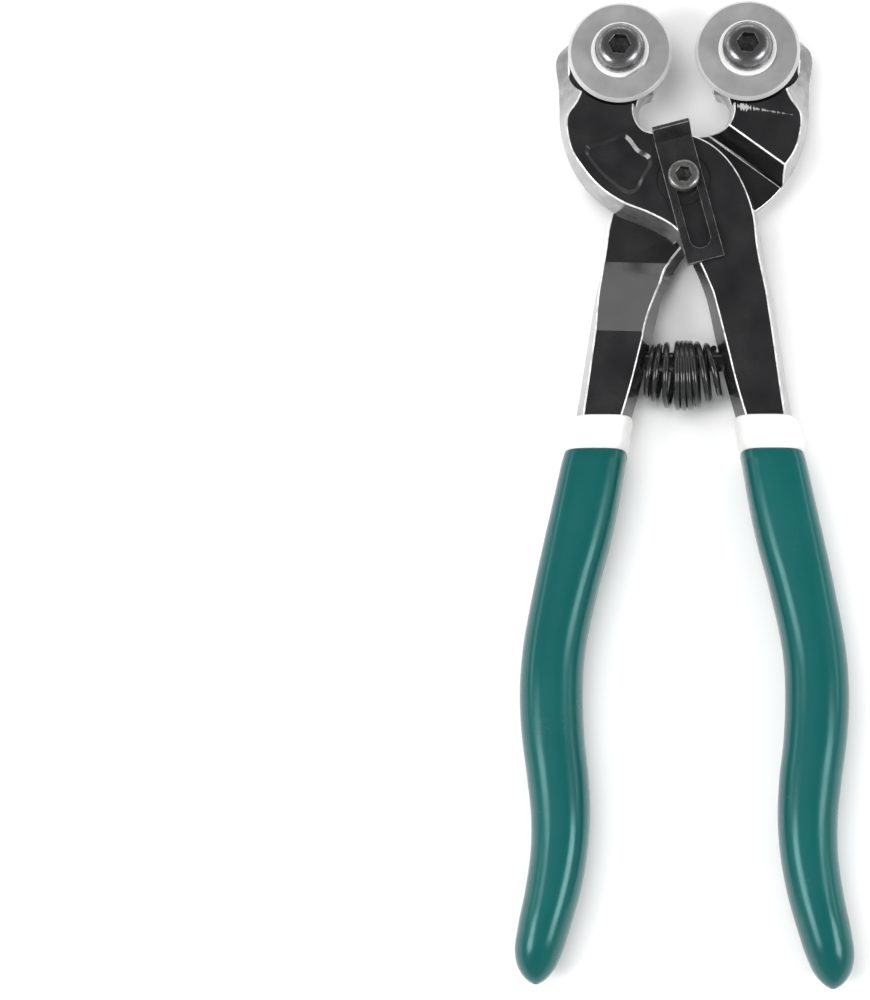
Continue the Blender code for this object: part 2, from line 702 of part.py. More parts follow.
def spring_point(turn):
    x = spring_turns_to_x(turn)
    share = x / SPRING_HALF_LENGTH
    bulge = math.cos(share * math.pi / 2) ** 0.8 if abs(share) < 1 else 0.0
    radius = SPRING_END_RADIUS + (SPRING_MIDDLE_RADIUS - SPRING_END_RADIUS) * bulge
    tilt = SPRING_TILT * share
    angle = 2 * math.pi * turn
    up = radius * math.cos(angle)
    y = SPRING_Y - SPRING_SAG * (1 - share * share) + up * math.cos(tilt)
    return (x - up * math.sin(tilt), y, PARTING_Z + radius * math.sin(angle))


def make_spring(parts, wire):
    curve = bpy.data.curves.new("spring", "CURVE")
    curve.dimensions = "3D"
    curve.bevel_depth = SPRING_WIRE_RADIUS * MM
    curve.bevel_resolution = 2
    curve.use_fill_caps = True
    count = SPRING_TURNS * SPRING_POINTS_PER_TURN + 1
    line = curve.splines.new("POLY")
    line.points.add(count - 1)
    for i in range(count):
        x, y, z = spring_point(i / SPRING_POINTS_PER_TURN)
        line.points[i].co = (x * MM, y * MM, z * MM, 1.0)
    curve.materials.append(wire)
    parts.objects.link(bpy.data.objects.new("spring", curve))


def make_peg(name, side, tip, parts, steel):
    length = PEG_SEAT_X - tip
    bm = cylinder(PEG_RADIUS, 0.0, length, segments=20)
    edges = [edge for edge in bm.edges if all(vert.co.z > length - 0.01 for vert in edge.verts)]
    bmesh.ops.bevel(bm, geom=edges, offset=0.4, segments=2, affect="EDGES", profile=0.5)
    turn = Matrix.Rotation(-side * math.pi / 2, 3, "Y")
    bmesh.ops.rotate(bm, cent=(0, 0, 0), matrix=turn, verts=bm.verts)
    bmesh.ops.translate(bm, verts=bm.verts, vec=(side * PEG_SEAT_X, PEG_Y, PARTING_Z))
    link_mesh(name, bm, parts, steel)


def mirrored(bm, side):
    """The same shape on the left side, where side is -1."""
    if side < 0:
        bmesh.ops.scale(bm, vec=(-1.0, 1.0, 1.0), verts=bm.verts)
    return bm


def steel_sleeve_cutter(grow, top, bottom):
    return loft([steel_ring(section, grow) for section in steel_sections(top, bottom)])


def make_sleeve(name, side, parts, cutters, white):
    collar = [oval_ring(section) for section in COLLAR_KNOTS]
    bm = mirrored(loft(collar), side)
    sleeve = link_mesh(name, bm, parts, white)
    neck = steel_sleeve_cutter(REST_GAP + SLEEVE_NECK_WALL, COLLAR_END_Y + 1.0, NECK_END_Y)
    neck_object = cutter(name + "_neck", mirrored(neck, side), cutters)
    join = sleeve.modifiers.new("join_neck", "BOOLEAN")
    join.operation = "UNION"
    join.solver = "EXACT"
    join.object = neck_object
    cavity = steel_sleeve_cutter(REST_GAP, COLLAR_TOP_Y + 2.0, NECK_END_Y - 1.0)
    cut(sleeve, cutter(name + "_cavity", mirrored(cavity, side), cutters))


def make_grip(name, side, parts, cutters, green):
    rings = [oval_ring(section) for section in spline(GRIP_KNOTS, 2)]
    grip = link_mesh(name, mirrored(loft(rings), side), parts, green)
    neck_room = REST_GAP + SLEEVE_NECK_WALL + REST_GAP
    neck = steel_sleeve_cutter(neck_room, GRIP_TOP_Y + 1.0, NECK_END_Y - REST_GAP)
    cut(grip, cutter(name + "_neck_room", mirrored(neck, side), cutters))
    rings = [steel_ring(section, REST_GAP) for section in steel_sections(NECK_END_Y + 2.0, STEEL_END_Y)]
    rings.append(steel_ring((STEEL_END_Y - REST_GAP, *STEEL_KNOTS[-1][1:]), REST_GAP))
    cut(grip, cutter(name + "_cavity", mirrored(loft(rings), side), cutters))


def main():
    clear_scene()
    parts = make_collection("wheeled_nipper_pliers")
    cutters = make_collection("cutters")
    steel = make_material("black_enamelled_steel", (0.035, 0.035, 0.037), 0.28, 0.0)
    blackened = make_material("blackened_screw_steel", (0.12, 0.12, 0.125), 0.3, 1.0)
    carbide = make_material("ground_carbide", (0.42, 0.42, 0.42), 0.38, 1.0)
    nickel = make_material("nickel_plate", (0.75, 0.74, 0.72), 0.22, 1.0)
    sheet = make_material("black_sheet", (0.03, 0.03, 0.032), 0.45, 0.0)
    wire = make_material("black_spring_wire", (0.03, 0.03, 0.032), 0.3, 0.4)
    white = make_material("white_dipped_vinyl", (0.86, 0.86, 0.84), 0.35, 0.0)
    green = make_material("green_dipped_vinyl", (0.013, 0.14, 0.12), 0.25, 0.0)
    make_front_lever(parts, cutters, steel)
    make_rear_lever(parts, cutters, steel)
    make_pivot_rivet(parts, steel)
    make_gauge_screw(parts, cutters, nickel)
    make_gauge_plate(parts, cutters, sheet)
    for side_name, side in (("left", -1), ("right", 1)):
        make_wheel(side_name + "_wheel", side, parts, carbide)
        make_wheel_washer(side_name + "_wheel_washer", side, parts, cutters, nickel)
        make_wheel_screw(side_name + "_wheel_screw", side, parts, cutters, blackened)
        make_sleeve(side_name + "_sleeve", side, parts, cutters, white)
        make_grip(side_name + "_grip", side, parts, cutters, green)
    make_spring(parts, wire)
    make_peg("left_spring_peg", -1, LEFT_PEG_TIP_X, parts, steel)
    make_peg("right_spring_peg", 1, RIGHT_PEG_TIP_X, parts, steel)


main()
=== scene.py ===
"""The looks of the wheeled nipper pliers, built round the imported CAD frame.

The tool lies on its back on a pale floor, X across it, +Y towards the jaws and +Z out of its front.
Lengths below are in millimetres, and MM turns them into metres. Left is -X.
"""

import math

import bmesh
import bpy
from mathutils import Matrix, Vector


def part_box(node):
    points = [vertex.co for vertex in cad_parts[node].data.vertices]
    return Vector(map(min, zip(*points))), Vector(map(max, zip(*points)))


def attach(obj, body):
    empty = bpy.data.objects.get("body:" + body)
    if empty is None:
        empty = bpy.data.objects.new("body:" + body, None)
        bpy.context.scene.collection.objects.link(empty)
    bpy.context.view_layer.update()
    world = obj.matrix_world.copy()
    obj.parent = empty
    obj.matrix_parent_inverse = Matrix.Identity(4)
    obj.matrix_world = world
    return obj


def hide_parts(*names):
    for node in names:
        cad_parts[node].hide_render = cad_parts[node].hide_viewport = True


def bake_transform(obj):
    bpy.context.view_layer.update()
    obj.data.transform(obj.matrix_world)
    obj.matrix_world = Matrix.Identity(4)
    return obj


MM = 0.001

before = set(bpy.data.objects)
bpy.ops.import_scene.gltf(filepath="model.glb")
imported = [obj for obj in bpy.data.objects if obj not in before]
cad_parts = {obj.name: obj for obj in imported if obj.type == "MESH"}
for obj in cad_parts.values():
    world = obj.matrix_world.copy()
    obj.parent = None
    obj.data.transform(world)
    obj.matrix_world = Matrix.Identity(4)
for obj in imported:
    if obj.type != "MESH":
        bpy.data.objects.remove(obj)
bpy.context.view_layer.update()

# Camera, over the handles and leaning towards the jaws
CAMERA_Y = -173.2
CAMERA_HEIGHT = 572.0
CAMERA_TILT = math.radians(10.7)
CAMERA_YAW = math.radians(5.12)
CAMERA_LENS = 99.9

# Round pieces
ROUND_STEPS = 128
PARTING_Z = 7.5
TURN_PLAY = 0.1  # on the radius, between a wheel or washer and its screw
SCREW_RADIUS = 3.0
SCREW_HEX = 4.0  # across flats
SCREW_SOCKET_DEPTH = 2.2
GAUGE_SCREW_RADIUS = 2.0
GAUGE_HEX = 3.0
GAUGE_SOCKET_DEPTH = 1.4
SOCKET_REACH = 4.0  # below a screw's top, deeper than either socket
SOCKET_RIM = 0.05  # below a screw's top, where the socket's walls begin
WASHER_FLAT = 5.5
WASHER_FLAT_ANGLE = math.radians(-56.6)
SOCKET_TURN = math.radians(84.0)

# Levers: one forging, turned over for the rear one
HEAD_THICKNESS = 15.0
LAP_Z = 7.65  # the front lever's lap face
JAW_RAMP_FOOT = 12.65  # from the pivot to the foot of the jaw's ramp
JAW_RAMP_HEAD = 14.95  # from the pivot to its top edge
JAW_RAMP_ANGLE = math.radians(127.4)
NECK_RAMP_FOOT = 16.1
NECK_RAMP_RUN_PER_RISE = 2.31
NECK_RAMP_ANGLE = math.radians(-88.0)
WHEEL_X = 13.3
WHEEL_Y = 27.8
SEAT_Z = 10.8
SEAT_RADIUS = 11.6
RIVET_RADIUS = 5.5
PEG_Y = -37.3
PEG_RADIUS = 2.05
PEG_SEAT_X = 13.2
PANEL_DEPTH = 0.6
# Outline of the front lever's head, from the outside of its handle round the jaw to the inside of its
# handle: x and y at the parting line, x and y at the face, and True where the outline has a corner
HEAD_KNOTS = [
    (18.5, -24.0, 17.0, -24.0, True),
    (16.7, -15.2, 15.3, -15.3, False),
    (15.3, -6.2, 14.2, -6.6, False),
    (13.9, -1.6, 12.7, -2.0, False),
    (10.3, 4.9, 9.2, 4.2, False),
    (5.9, 8.9, 5.3, 7.8, False),
    (1.2, 11.0, 1.0, 9.7, False),
    (-3.4, 11.7, -3.5, 10.0, False),
    (-7.3, 12.4, -8.4, 10.8, False),
    (-9.4, 15.0, -10.4, 14.2, False),
    (-9.1, 18.4, -10.0, 18.8, False),
    (-7.7, 20.4, -8.6, 21.1, False),
    (-6.05, 21.1, -6.7, 22.0, True),
    (-6.5, 29.6, -7.1, 29.2, True),
    (-9.4, 33.0, -9.8, 31.8, False),
    (-23.4, 33.2, -18.6, 29.6, False),
    (-26.8, 30.0, -20.2, 27.6, False),
    (-26.6, 22.0, -20.8, 21.6, False),
    (-26.4, 17.6, -22.3, 17.4, False),
    (-26.15, 14.0, -24.3, 14.2, False),
    (-25.1, 8.9, -23.9, 8.4, False),
    (-21.9, 2.0, -20.9, 2.6, False),
    (-17.7, -2.9, -17.0, -1.9, False),
    (-13.3, -6.0, -12.8, -4.8, False),
    (-7.1, -8.7, -6.6, -7.5, False),
    (-2.9, -11.3, -2.0, -10.3, False),
    (0.0, -15.0, 1.3, -14.5, False),
    (1.9, -18.2, 3.2, -17.7, False),
    (4.5, -24.0, 5.95, -24.0, True),
]

# Handle steel below the head: y, inner x, outer x, half thickness, how far the face stands in
STEEL_KNOTS = [
    (-24.0, 4.5, 18.5, 7.5, 1.5),
    (-34.0, 6.95, 20.0, 7.0, 1.55),
    (-44.0, 9.3, 21.45, 6.3, 1.65),
    (-50.0, 10.95, 22.4, 6.0, 1.75),
    (-57.0, 13.0, 23.3, 5.7, 1.9),
    (-68.0, 15.1, 25.4, 5.6, 2.1),
    (-85.0, 19.1, 29.0, 5.6, 2.1),
    (-101.0, 22.0, 31.5, 5.5, 2.1),
    (-116.0, 21.7, 31.15, 5.4, 2.1),
    (-132.0, 20.4, 29.15, 5.3, 2.0),
    (-146.5, 22.0, 30.2, 5.0, 1.9),
    (-161.0, 27.2, 31.6, 3.9, 1.2),
]

# Slanted relief on the inside of the front lever's neck, where the two necks pass: y, then x and z on
# the wall and x and z on the ramp
NECK_RELIEF_KNOTS = [
    (-12.0, -1.6, 10.6, 0.4, 7.3),
    (-16.6, 1.45, 10.5, 3.5, 7.45),
    (-21.2, 3.65, 9.5, 5.05, 5.4),
    (-28.5, 5.75, 8.2, 7.4, 2.3),
    (-36.5, 7.1, 7.5, 8.8, -0.6),
]

# Sunk panel on the lever's face: x and y of its edge, then of its floor's edge
PANEL_KNOTS = [
    (-20.4, 7.6, -19.5, 7.0),
    (-16.2, 8.6, -16.1, 7.9),
    (-12.2, 10.0, -12.4, 9.2),
    (-10.9, 8.9, -11.5, 8.4),
    (-9.4, 6.8, -10.0, 6.3),
    (-6.7, 4.9, -7.5, 4.4),
    (-6.5, 3.4, -7.4, 3.6),
    (-8.1, 0.6, -8.8, 0.9),
    (-9.8, -2.6, -10.3, -1.9),
    (-11.4, -3.0, -11.2, -2.2),
    (-15.2, -0.5, -14.8, 0.1),
    (-18.8, 3.2, -18.2, 3.7),
    (-20.6, 6.6, -19.7, 6.3),
]

# Wheels
WHEEL_EDGE_DROP = 0.8  # from the face to the cutting edge
WHEEL_FACE_INSET = 0.7
WHEEL_HUB_RADIUS = 8.6
WHEEL_RIM_DEPTH = 2.4

# Spring
SPRING_Y = -39.0
SPRING_SAG = 1.2
SPRING_HALF_LENGTH = 7.3
SPRING_END_RADIUS = 4.75
SPRING_MIDDLE_RADIUS = 6.75
SPRING_WIRE_RADIUS = 0.62
SPRING_TILT = math.radians(13.0)
SPRING_POINTS_PER_TURN = 44
SPRING_TURNS = 9
# Turns of wire, and how far along its half length they reach: close coils in the middle and at the left
# end, open ones between these and towards the right
SPRING_PITCH = [(0, -1.0), (1, -0.82), (2, -0.6), (3, -0.22), (6.2, 0.26), (7, 0.46), (8, 0.76), (9, 1.0)]

# Grips
COLLAR_TOP_Y = -49.8
COLLAR_END_Y = -56.6
GRIP_TOP_Y = -56.9
RING_POINTS = 72
GRIP_KNOTS = [
    (GRIP_TOP_Y, 11.65, 24.7, 7.4, 3.2),
    (-68.0, 13.45, 27.05, 7.3, 3.0),
    (-76.0, 15.1, 28.8, 7.25, 2.8),
    (-85.0, 17.4, 30.65, 7.2, 2.6),
    (-101.0, 20.35, 33.15, 7.1, 2.4),
    (-108.0, 20.5, 33.35, 7.05, 2.4),
    (-116.0, 20.1, 32.8, 7.0, 2.4),
    (-124.0, 19.2, 31.7, 6.95, 2.4),
    (-132.0, 18.85, 30.8, 6.9, 2.4),
    (-138.5, 19.25, 30.8, 6.8, 2.4),
    (-146.5, 20.6, 31.8, 6.6, 2.3),
    (-154.3, 22.75, 33.3, 6.2, 2.2),
    (-159.3, 24.4, 33.8, 5.5, 2.1),
    (-162.8, 26.1, 32.8, 4.0, 2.0),
    (-164.7, 27.9, 31.2, 2.2, 2.0),
    (-165.4, 29.1, 30.0, 0.8, 2.0),
]
COLLAR_KNOTS = [
    (COLLAR_TOP_Y, 10.9, 22.5, 6.5, 3.4),
    (-50.0, 10.55, 22.95, 6.95, 3.4),
    (-50.5, 10.5, 23.5, 7.15, 3.4),
    (-52.0, 10.8, 24.0, 7.25, 3.3),
    (COLLAR_END_Y, 11.7, 24.6, 7.35, 3.2),
    (-57.0, 12.0, 24.4, 7.1, 3.2),
    (-57.6, 13.2, 23.4, 6.0, 3.2),
]


# ---------------------------------------------------------------- materials


def new_material(name, colour, roughness, metallic=0.0):
    material = bpy.data.materials.new(name)
    material.use_nodes = True
    shader = material.node_tree.nodes["Principled BSDF"]
    shader.inputs["Base Color"].default_value = (*colour, 1.0)
    shader.inputs["Roughness"].default_value = roughness
    shader.inputs["Metallic"].default_value = metallic
    return material, material.node_tree, shader


def add_node(tree, kind, **settings):
    node = tree.nodes.new(kind)
    for key, value in settings.items():
        setattr(node, key, value)
    return node


def noise(tree, scale, detail=3.0, stretch=None, roughness=0.5):
    """A noise node on the object's own coordinates, scale in cells per metre."""
    place = add_node(tree, "ShaderNodeTexCoord")
    source = place.outputs["Object"]
    if stretch:
        mapping = add_node(tree, "ShaderNodeMapping")
        mapping.inputs["Scale"].default_value = stretch
        tree.links.new(source, mapping.inputs["Vector"])
        source = mapping.outputs["Vector"]
    texture = add_node(tree, "ShaderNodeTexNoise")
    texture.inputs["Scale"].default_value = scale
    texture.inputs["Detail"].default_value = detail
    texture.inputs["Roughness"].default_value = roughness
    tree.links.new(source, texture.inputs["Vector"])
    return texture.outputs["Fac"]


def ramp(tree, factor, stops):
    """A colour ramp over factor, from (position, value or colour) stops."""
    node = add_node(tree, "ShaderNodeValToRGB")
    elements = node.color_ramp.elements
    while len(elements) < len(stops):
        elements.new(0.5)
    for element, (position, value) in zip(elements, stops):
        element.position = position
        colour = value if isinstance(value, tuple) else (value,) * 3
        element.color = (*colour, 1.0)
    tree.links.new(factor, node.inputs["Fac"])
    return node.outputs["Color"]


def bump(tree, height, distance, strength=1.0, before=None):
    node = add_node(tree, "ShaderNodeBump")
    node.inputs["Distance"].default_value = distance * MM
    node.inputs["Strength"].default_value = strength
    tree.links.new(height, node.inputs["Height"])
    if before:
        tree.links.new(before, node.inputs["Normal"])
    return node.outputs["Normal"]


def math_node(tree, operation, a, b=None):
    node = add_node(tree, "ShaderNodeMath", operation=operation)
    for socket, value in zip(node.inputs, (a, b)):
        if value is None:
            continue
        if isinstance(value, float):
            socket.default_value = value
        else:
            tree.links.new(value, socket)
    return node.outputs["Value"]


def lit_side_wall_mask(tree):
    """1 on the lever's side walls that face left or right, but for those between the two handles: the walls
    that catch the light get painted light, while those in shade between the handles stay black as painted
    shade.
    """
    geometry = add_node(tree, "ShaderNodeNewGeometry")
    normal = add_node(tree, "ShaderNodeSeparateXYZ")
    tree.links.new(geometry.outputs["Normal"], normal.inputs["Vector"])
    place = add_node(tree, "ShaderNodeTexCoord")
    point = add_node(tree, "ShaderNodeSeparateXYZ")
    tree.links.new(place.outputs["Object"], point.inputs["Vector"])
    up = ramp(tree, math_node(tree, "ABSOLUTE", normal.outputs["Z"]), [(0.6, 1.0), (0.8, 0.0)])
    across = ramp(tree, math_node(tree, "ABSOLUTE", normal.outputs["X"]), [(0.15, 0.0), (0.5, 1.0)])
    facing = math_node(tree, "MULTIPLY", normal.outputs["X"], point.outputs["X"])
    inward = math_node(tree, "LESS_THAN", facing, 0.0)
    low = math_node(tree, "LESS_THAN", point.outputs["Y"], -12.0 * MM)
    outside = math_node(tree, "SUBTRACT", 1.0, math_node(tree, "MULTIPLY", inward, low))
    return math_node(tree, "MULTIPLY", math_node(tree, "MULTIPLY", up, across), outside)


def fold_mask(tree):
    """Broken marks along the line where the forging's jaw face was trimmed, fading away to the right."""
    place = add_node(tree, "ShaderNodeTexCoord")
    parts = add_node(tree, "ShaderNodeSeparateXYZ")
    tree.links.new(place.outputs["Object"], parts.inputs["Vector"])
    start, end = Vector((10.6, 15.9)) * MM, Vector((22.9, 13.6)) * MM
    along = (end - start).normalized()
    span = (end - start).length
    offset = Vector((-along.y, along.x))
    run = math_node(
        tree,
        "ADD",
        math_node(tree, "MULTIPLY", math_node(tree, "SUBTRACT", parts.outputs["X"], start.x), along.x),
        math_node(tree, "MULTIPLY", math_node(tree, "SUBTRACT", parts.outputs["Y"], start.y), along.y),
    )
    off = math_node(
        tree,
        "ADD",
        math_node(tree, "MULTIPLY", math_node(tree, "SUBTRACT", parts.outputs["X"], start.x), offset.x),
        math_node(tree, "MULTIPLY", math_node(tree, "SUBTRACT", parts.outputs["Y"], start.y), offset.y),
    )
    ticks = noise(tree, 1700.0, 3.0, stretch=(1.0, 0.04, 1.0), roughness=0.7)
    share = math_node(tree, "DIVIDE", run, span)
    fade = ramp(tree, share, [(0.0, 0.0), (0.02, 1.0), (0.4, 0.7), (0.98, 0.25), (1.0, 0.0)])
    height = math_node(tree, "MULTIPLY", math_node(tree, "SUBTRACT", ticks, 0.44), 5.0 * MM)
    width = math_node(tree, "MULTIPLY", height, fade)
    near = math_node(tree, "LESS_THAN", math_node(tree, "ABSOLUTE", off), width)
    top = math_node(tree, "GREATER_THAN", parts.outputs["Z"], (HEAD_THICKNESS - 0.4) * MM)
    return math_node(tree, "MULTIPLY", math_node(tree, "MULTIPLY", near, fade), top)


def enamelled_steel(name="enamelled_steel", with_lit_walls=False, folded=False):
    """Glossy black enamel, on a lever thin over the rough side walls, where the steel shines through. Which
    walls show the light steel follows how the light falls on them: painted light on the lit outer walls,
    painted shade on the walls between the handles.
    """
    material, tree, shader = new_material(name, (0.012, 0.012, 0.013), 0.2)
    cloud = noise(tree, 140.0, 4.0)
    black = ramp(tree, cloud, [(0.3, (0.012, 0.012, 0.013)), (0.7, (0.022, 0.022, 0.023))])
    walls = lit_side_wall_mask(tree) if with_lit_walls else math_node(tree, "MULTIPLY", cloud, 0.0)
    scale = noise(tree, 380.0, 5.0, roughness=0.7)
    steel = ramp(tree, scale, [(0.3, (0.23, 0.23, 0.23)), (0.65, (0.46, 0.46, 0.46))])
    fold = fold_mask(tree) if folded else None
    mix = add_node(tree, "ShaderNodeMix", data_type="RGBA")
    # Light steel mixed in on the lit side walls only: painted light
    tree.links.new(math_node(tree, "MULTIPLY", walls, 0.8), mix.inputs["Factor"])
    tree.links.new(black, mix.inputs["A"])
    tree.links.new(steel, mix.inputs["B"])
    colour = mix.outputs["Result"]
    if folded:
        chipped = add_node(tree, "ShaderNodeMix", data_type="RGBA")
        tree.links.new(fold, chipped.inputs["Factor"])
        tree.links.new(colour, chipped.inputs["A"])
        chipped.inputs["B"].default_value = (0.42, 0.42, 0.42, 1.0)
        colour = chipped.outputs["Result"]
    tree.links.new(colour, shader.inputs["Base Color"])
    tree.links.new(math_node(tree, "MULTIPLY", walls, 0.75), shader.inputs["Metallic"])
    smudge = noise(tree, 90.0, 5.0, roughness=0.65)
    tree.links.new(ramp(tree, smudge, [(0.3, 0.13), (0.75, 0.24)]), shader.inputs["Roughness"])
    peel = bump(tree, noise(tree, 1100.0, 2.0), 0.012)
    forged = math_node(tree, "MULTIPLY", scale, walls)
    tree.links.new(bump(tree, forged, 0.05, before=peel), shader.inputs["Normal"])
    shader.inputs["Coat Weight"].default_value = 0.4
    shader.inputs["Coat Roughness"].default_value = 0.05
    return material


def worn_and_highlit_edge():
    """The enamel where it runs thin over the edges, polished by handling; its light colour is also a painted
    highlight along the rounded edges.
    """
    material, tree, shader = new_material("worn_and_highlit_edge", (0.8, 0.8, 0.8), 0.25, 0.45)
    wear_and_highlight = noise(tree, 500.0, 4.0, roughness=0.6)
    tree.links.new(
        ramp(tree, wear_and_highlight, [(0.3, (0.45, 0.45, 0.45)), (0.55, (0.95, 0.95, 0.95))]),
        shader.inputs["Base Color"],
    )
    tree.links.new(ramp(tree, wear_and_highlight, [(0.3, 0.16), (0.7, 0.3)]), shader.inputs["Roughness"])
    return material


def black_sheet():
    material, tree, shader = new_material("black_sheet", (0.014, 0.014, 0.015), 0.28)
    grain = noise(tree, 2600.0, 3.0, stretch=(1.0, 0.25, 1.0))
    tree.links.new(ramp(tree, grain, [(0.3, 0.25), (0.75, 0.29)]), shader.inputs["Roughness"])
    cloud = noise(tree, 260.0, 4.0)
    tree.links.new(
        ramp(tree, cloud, [(0.3, (0.012, 0.012, 0.013)), (0.7, (0.022, 0.022, 0.023))]),
        shader.inputs["Base Color"],
    )
    tree.links.new(bump(tree, grain, 0.0012), shader.inputs["Normal"])
    return material


def sheet_edge_wear_and_highlight():
    """The plate's blacking at its rounded edges, lighter where handling has thinned it and as a painted
    highlight along the edges.
    """
    material, tree, shader = new_material("sheet_edge_wear_and_highlight", (0.12, 0.12, 0.12), 0.3, 0.3)
    wear_and_highlight = noise(tree, 600.0, 4.0, roughness=0.6)
    tree.links.new(
        ramp(tree, wear_and_highlight, [(0.35, (0.05, 0.05, 0.05)), (0.65, (0.26, 0.26, 0.26))]),
        shader.inputs["Base Color"],
    )
    return material


def ground_wheel(name, dark, light):
    """Ring-shaped grinding marks about the wheel's own axis, under a soft cloudiness."""
    material, tree, shader = new_material(name, (0.5, 0.5, 0.5), 0.4, 0.35)
    place = add_node(tree, "ShaderNodeTexCoord")
    parts = add_node(tree, "ShaderNodeSeparateXYZ")
    tree.links.new(place.outputs["Object"], parts.inputs["Vector"])
    x2 = math_node(tree, "MULTIPLY", parts.outputs["X"], parts.outputs["X"])
    y2 = math_node(tree, "MULTIPLY", parts.outputs["Y"], parts.outputs["Y"])
    radius = math_node(tree, "SQRT", math_node(tree, "ADD", x2, y2))
    joined = add_node(tree, "ShaderNodeCombineXYZ")
    tree.links.new(radius, joined.inputs["X"])
    rings = add_node(tree, "ShaderNodeTexNoise")
    rings.inputs["Scale"].default_value = 5200.0
    rings.inputs["Detail"].default_value = 2.0
    tree.links.new(joined.outputs["Vector"], rings.inputs["Vector"])
    cloud = noise(tree, 190.0, 4.0)
    tree.links.new(
        ramp(tree, cloud, [(0.3, dark), (0.7, light)]),
        shader.inputs["Base Color"],
    )
    tree.links.new(ramp(tree, rings.outputs["Fac"], [(0.3, 0.28), (0.7, 0.42)]), shader.inputs["Roughness"])
    tree.links.new(bump(tree, rings.outputs["Fac"], 0.004), shader.inputs["Normal"])
    return material


def nickel_plate():
    material, tree, shader = new_material("nickel_plate", (0.95, 0.95, 0.94), 0.25, 0.3)
    cloud = noise(tree, 700.0, 4.0)
    tree.links.new(ramp(tree, cloud, [(0.3, 0.12), (0.75, 0.3)]), shader.inputs["Roughness"])
    tree.links.new(bump(tree, cloud, 0.006), shader.inputs["Normal"])
    return material


def mottled_nickel():
    material, tree, shader = new_material("mottled_nickel", (0.3, 0.3, 0.3), 0.3, 0.85)
    spots = noise(tree, 1500.0, 5.0, roughness=0.7)
    tree.links.new(
        ramp(tree, spots, [(0.35, (0.13, 0.13, 0.13)), (0.65, (0.4, 0.4, 0.39))]),
        shader.inputs["Base Color"],
    )
    tree.links.new(ramp(tree, spots, [(0.3, 0.42), (0.7, 0.24)]), shader.inputs["Roughness"])
    tree.links.new(bump(tree, spots, 0.012), shader.inputs["Normal"])
    return material


def blackened_screw():
    material, tree, shader = new_material("blackened_screw", (0.2, 0.2, 0.205), 0.27, 0.9)
    spots = noise(tree, 800.0, 5.0, roughness=0.65)
    tree.links.new(
        ramp(tree, spots, [(0.3, (0.18, 0.18, 0.185)), (0.7, (0.32, 0.32, 0.33))]),
        shader.inputs["Base Color"],
    )
    tree.links.new(ramp(tree, spots, [(0.3, 0.34), (0.7, 0.22)]), shader.inputs["Roughness"])
    tree.links.new(bump(tree, spots, 0.006), shader.inputs["Normal"])
    return material


def socket_painted_shade():
    """The bottom and the walls of a screw's socket, painted dull and dark as painted shade in the recess."""
    material, tree, shader = new_material("socket_painted_shade", (0.02, 0.02, 0.02), 0.4, 0.2)
    shade_mottle = noise(tree, 1800.0, 4.0)
    tree.links.new(
        ramp(tree, shade_mottle, [(0.35, (0.01, 0.01, 0.01)), (0.7, (0.05, 0.05, 0.05))]),
        shader.inputs["Base Color"],
    )
    tree.links.new(ramp(tree, shade_mottle, [(0.3, 0.5), (0.7, 0.3)]), shader.inputs["Roughness"])
    return material


def spring_wire():
    material, tree, shader = new_material("spring_wire", (0.018, 0.018, 0.019), 0.18)
    drawn = noise(tree, 1300.0, 3.0)
    tree.links.new(ramp(tree, drawn, [(0.3, 0.12), (0.7, 0.26)]), shader.inputs["Roughness"])
    tree.links.new(bump(tree, drawn, 0.006), shader.inputs["Normal"])
    shader.inputs["Coat Weight"].default_value = 0.4
    shader.inputs["Coat Roughness"].default_value = 0.08
    return material


def white_vinyl():
    material, tree, shader = new_material("white_vinyl", (0.88, 0.88, 0.86), 0.3)
    stain = noise(tree, 320.0, 4.0)
    tree.links.new(
        ramp(tree, stain, [(0.25, (0.71, 0.71, 0.69)), (0.6, (0.78, 0.78, 0.77))]),
        shader.inputs["Base Color"],
    )
    tree.links.new(bump(tree, noise(tree, 260.0, 3.0), 0.03), shader.inputs["Normal"])
    shader.inputs["Subsurface Weight"].default_value = 0.15
    shader.inputs["Subsurface Radius"].default_value = (0.002, 0.0015, 0.001)
    return material


def green_vinyl():
    material, tree, shader = new_material("green_vinyl", (0.006, 0.118, 0.104), 0.2)
    cloud = noise(tree, 40.0, 4.0)
    tree.links.new(
        ramp(tree, cloud, [(0.3, (0.0032, 0.076, 0.072)), (0.7, (0.0052, 0.090, 0.086))]),
        shader.inputs["Base Color"],
    )
    haze = noise(tree, 75.0, 4.0, roughness=0.6)
    tree.links.new(ramp(tree, haze, [(0.3, 0.18), (0.75, 0.3)]), shader.inputs["Roughness"])
    flow = bump(tree, noise(tree, 65.0, 2.0, stretch=(1.0, 0.35, 1.0)), 0.10)
    shader.inputs["Specular Tint"].default_value = (0.6, 1.0, 1.0, 1.0)
    pores = bump(tree, noise(tree, 1500.0, 2.0), 0.004, before=flow)
    tree.links.new(pores, shader.inputs["Normal"])
    return material


def floor_paper():
    material, tree, shader = new_material("floor_paper", (0.9, 0.9, 0.9), 0.9)
    grain = noise(tree, 60.0, 3.0)
    tree.links.new(
        ramp(tree, grain, [(0.3, (0.895, 0.895, 0.895)), (0.7, (0.91, 0.91, 0.91))]),
        shader.inputs["Base Color"],
    )
    return material


# ---------------------------------------------------------------- shapes


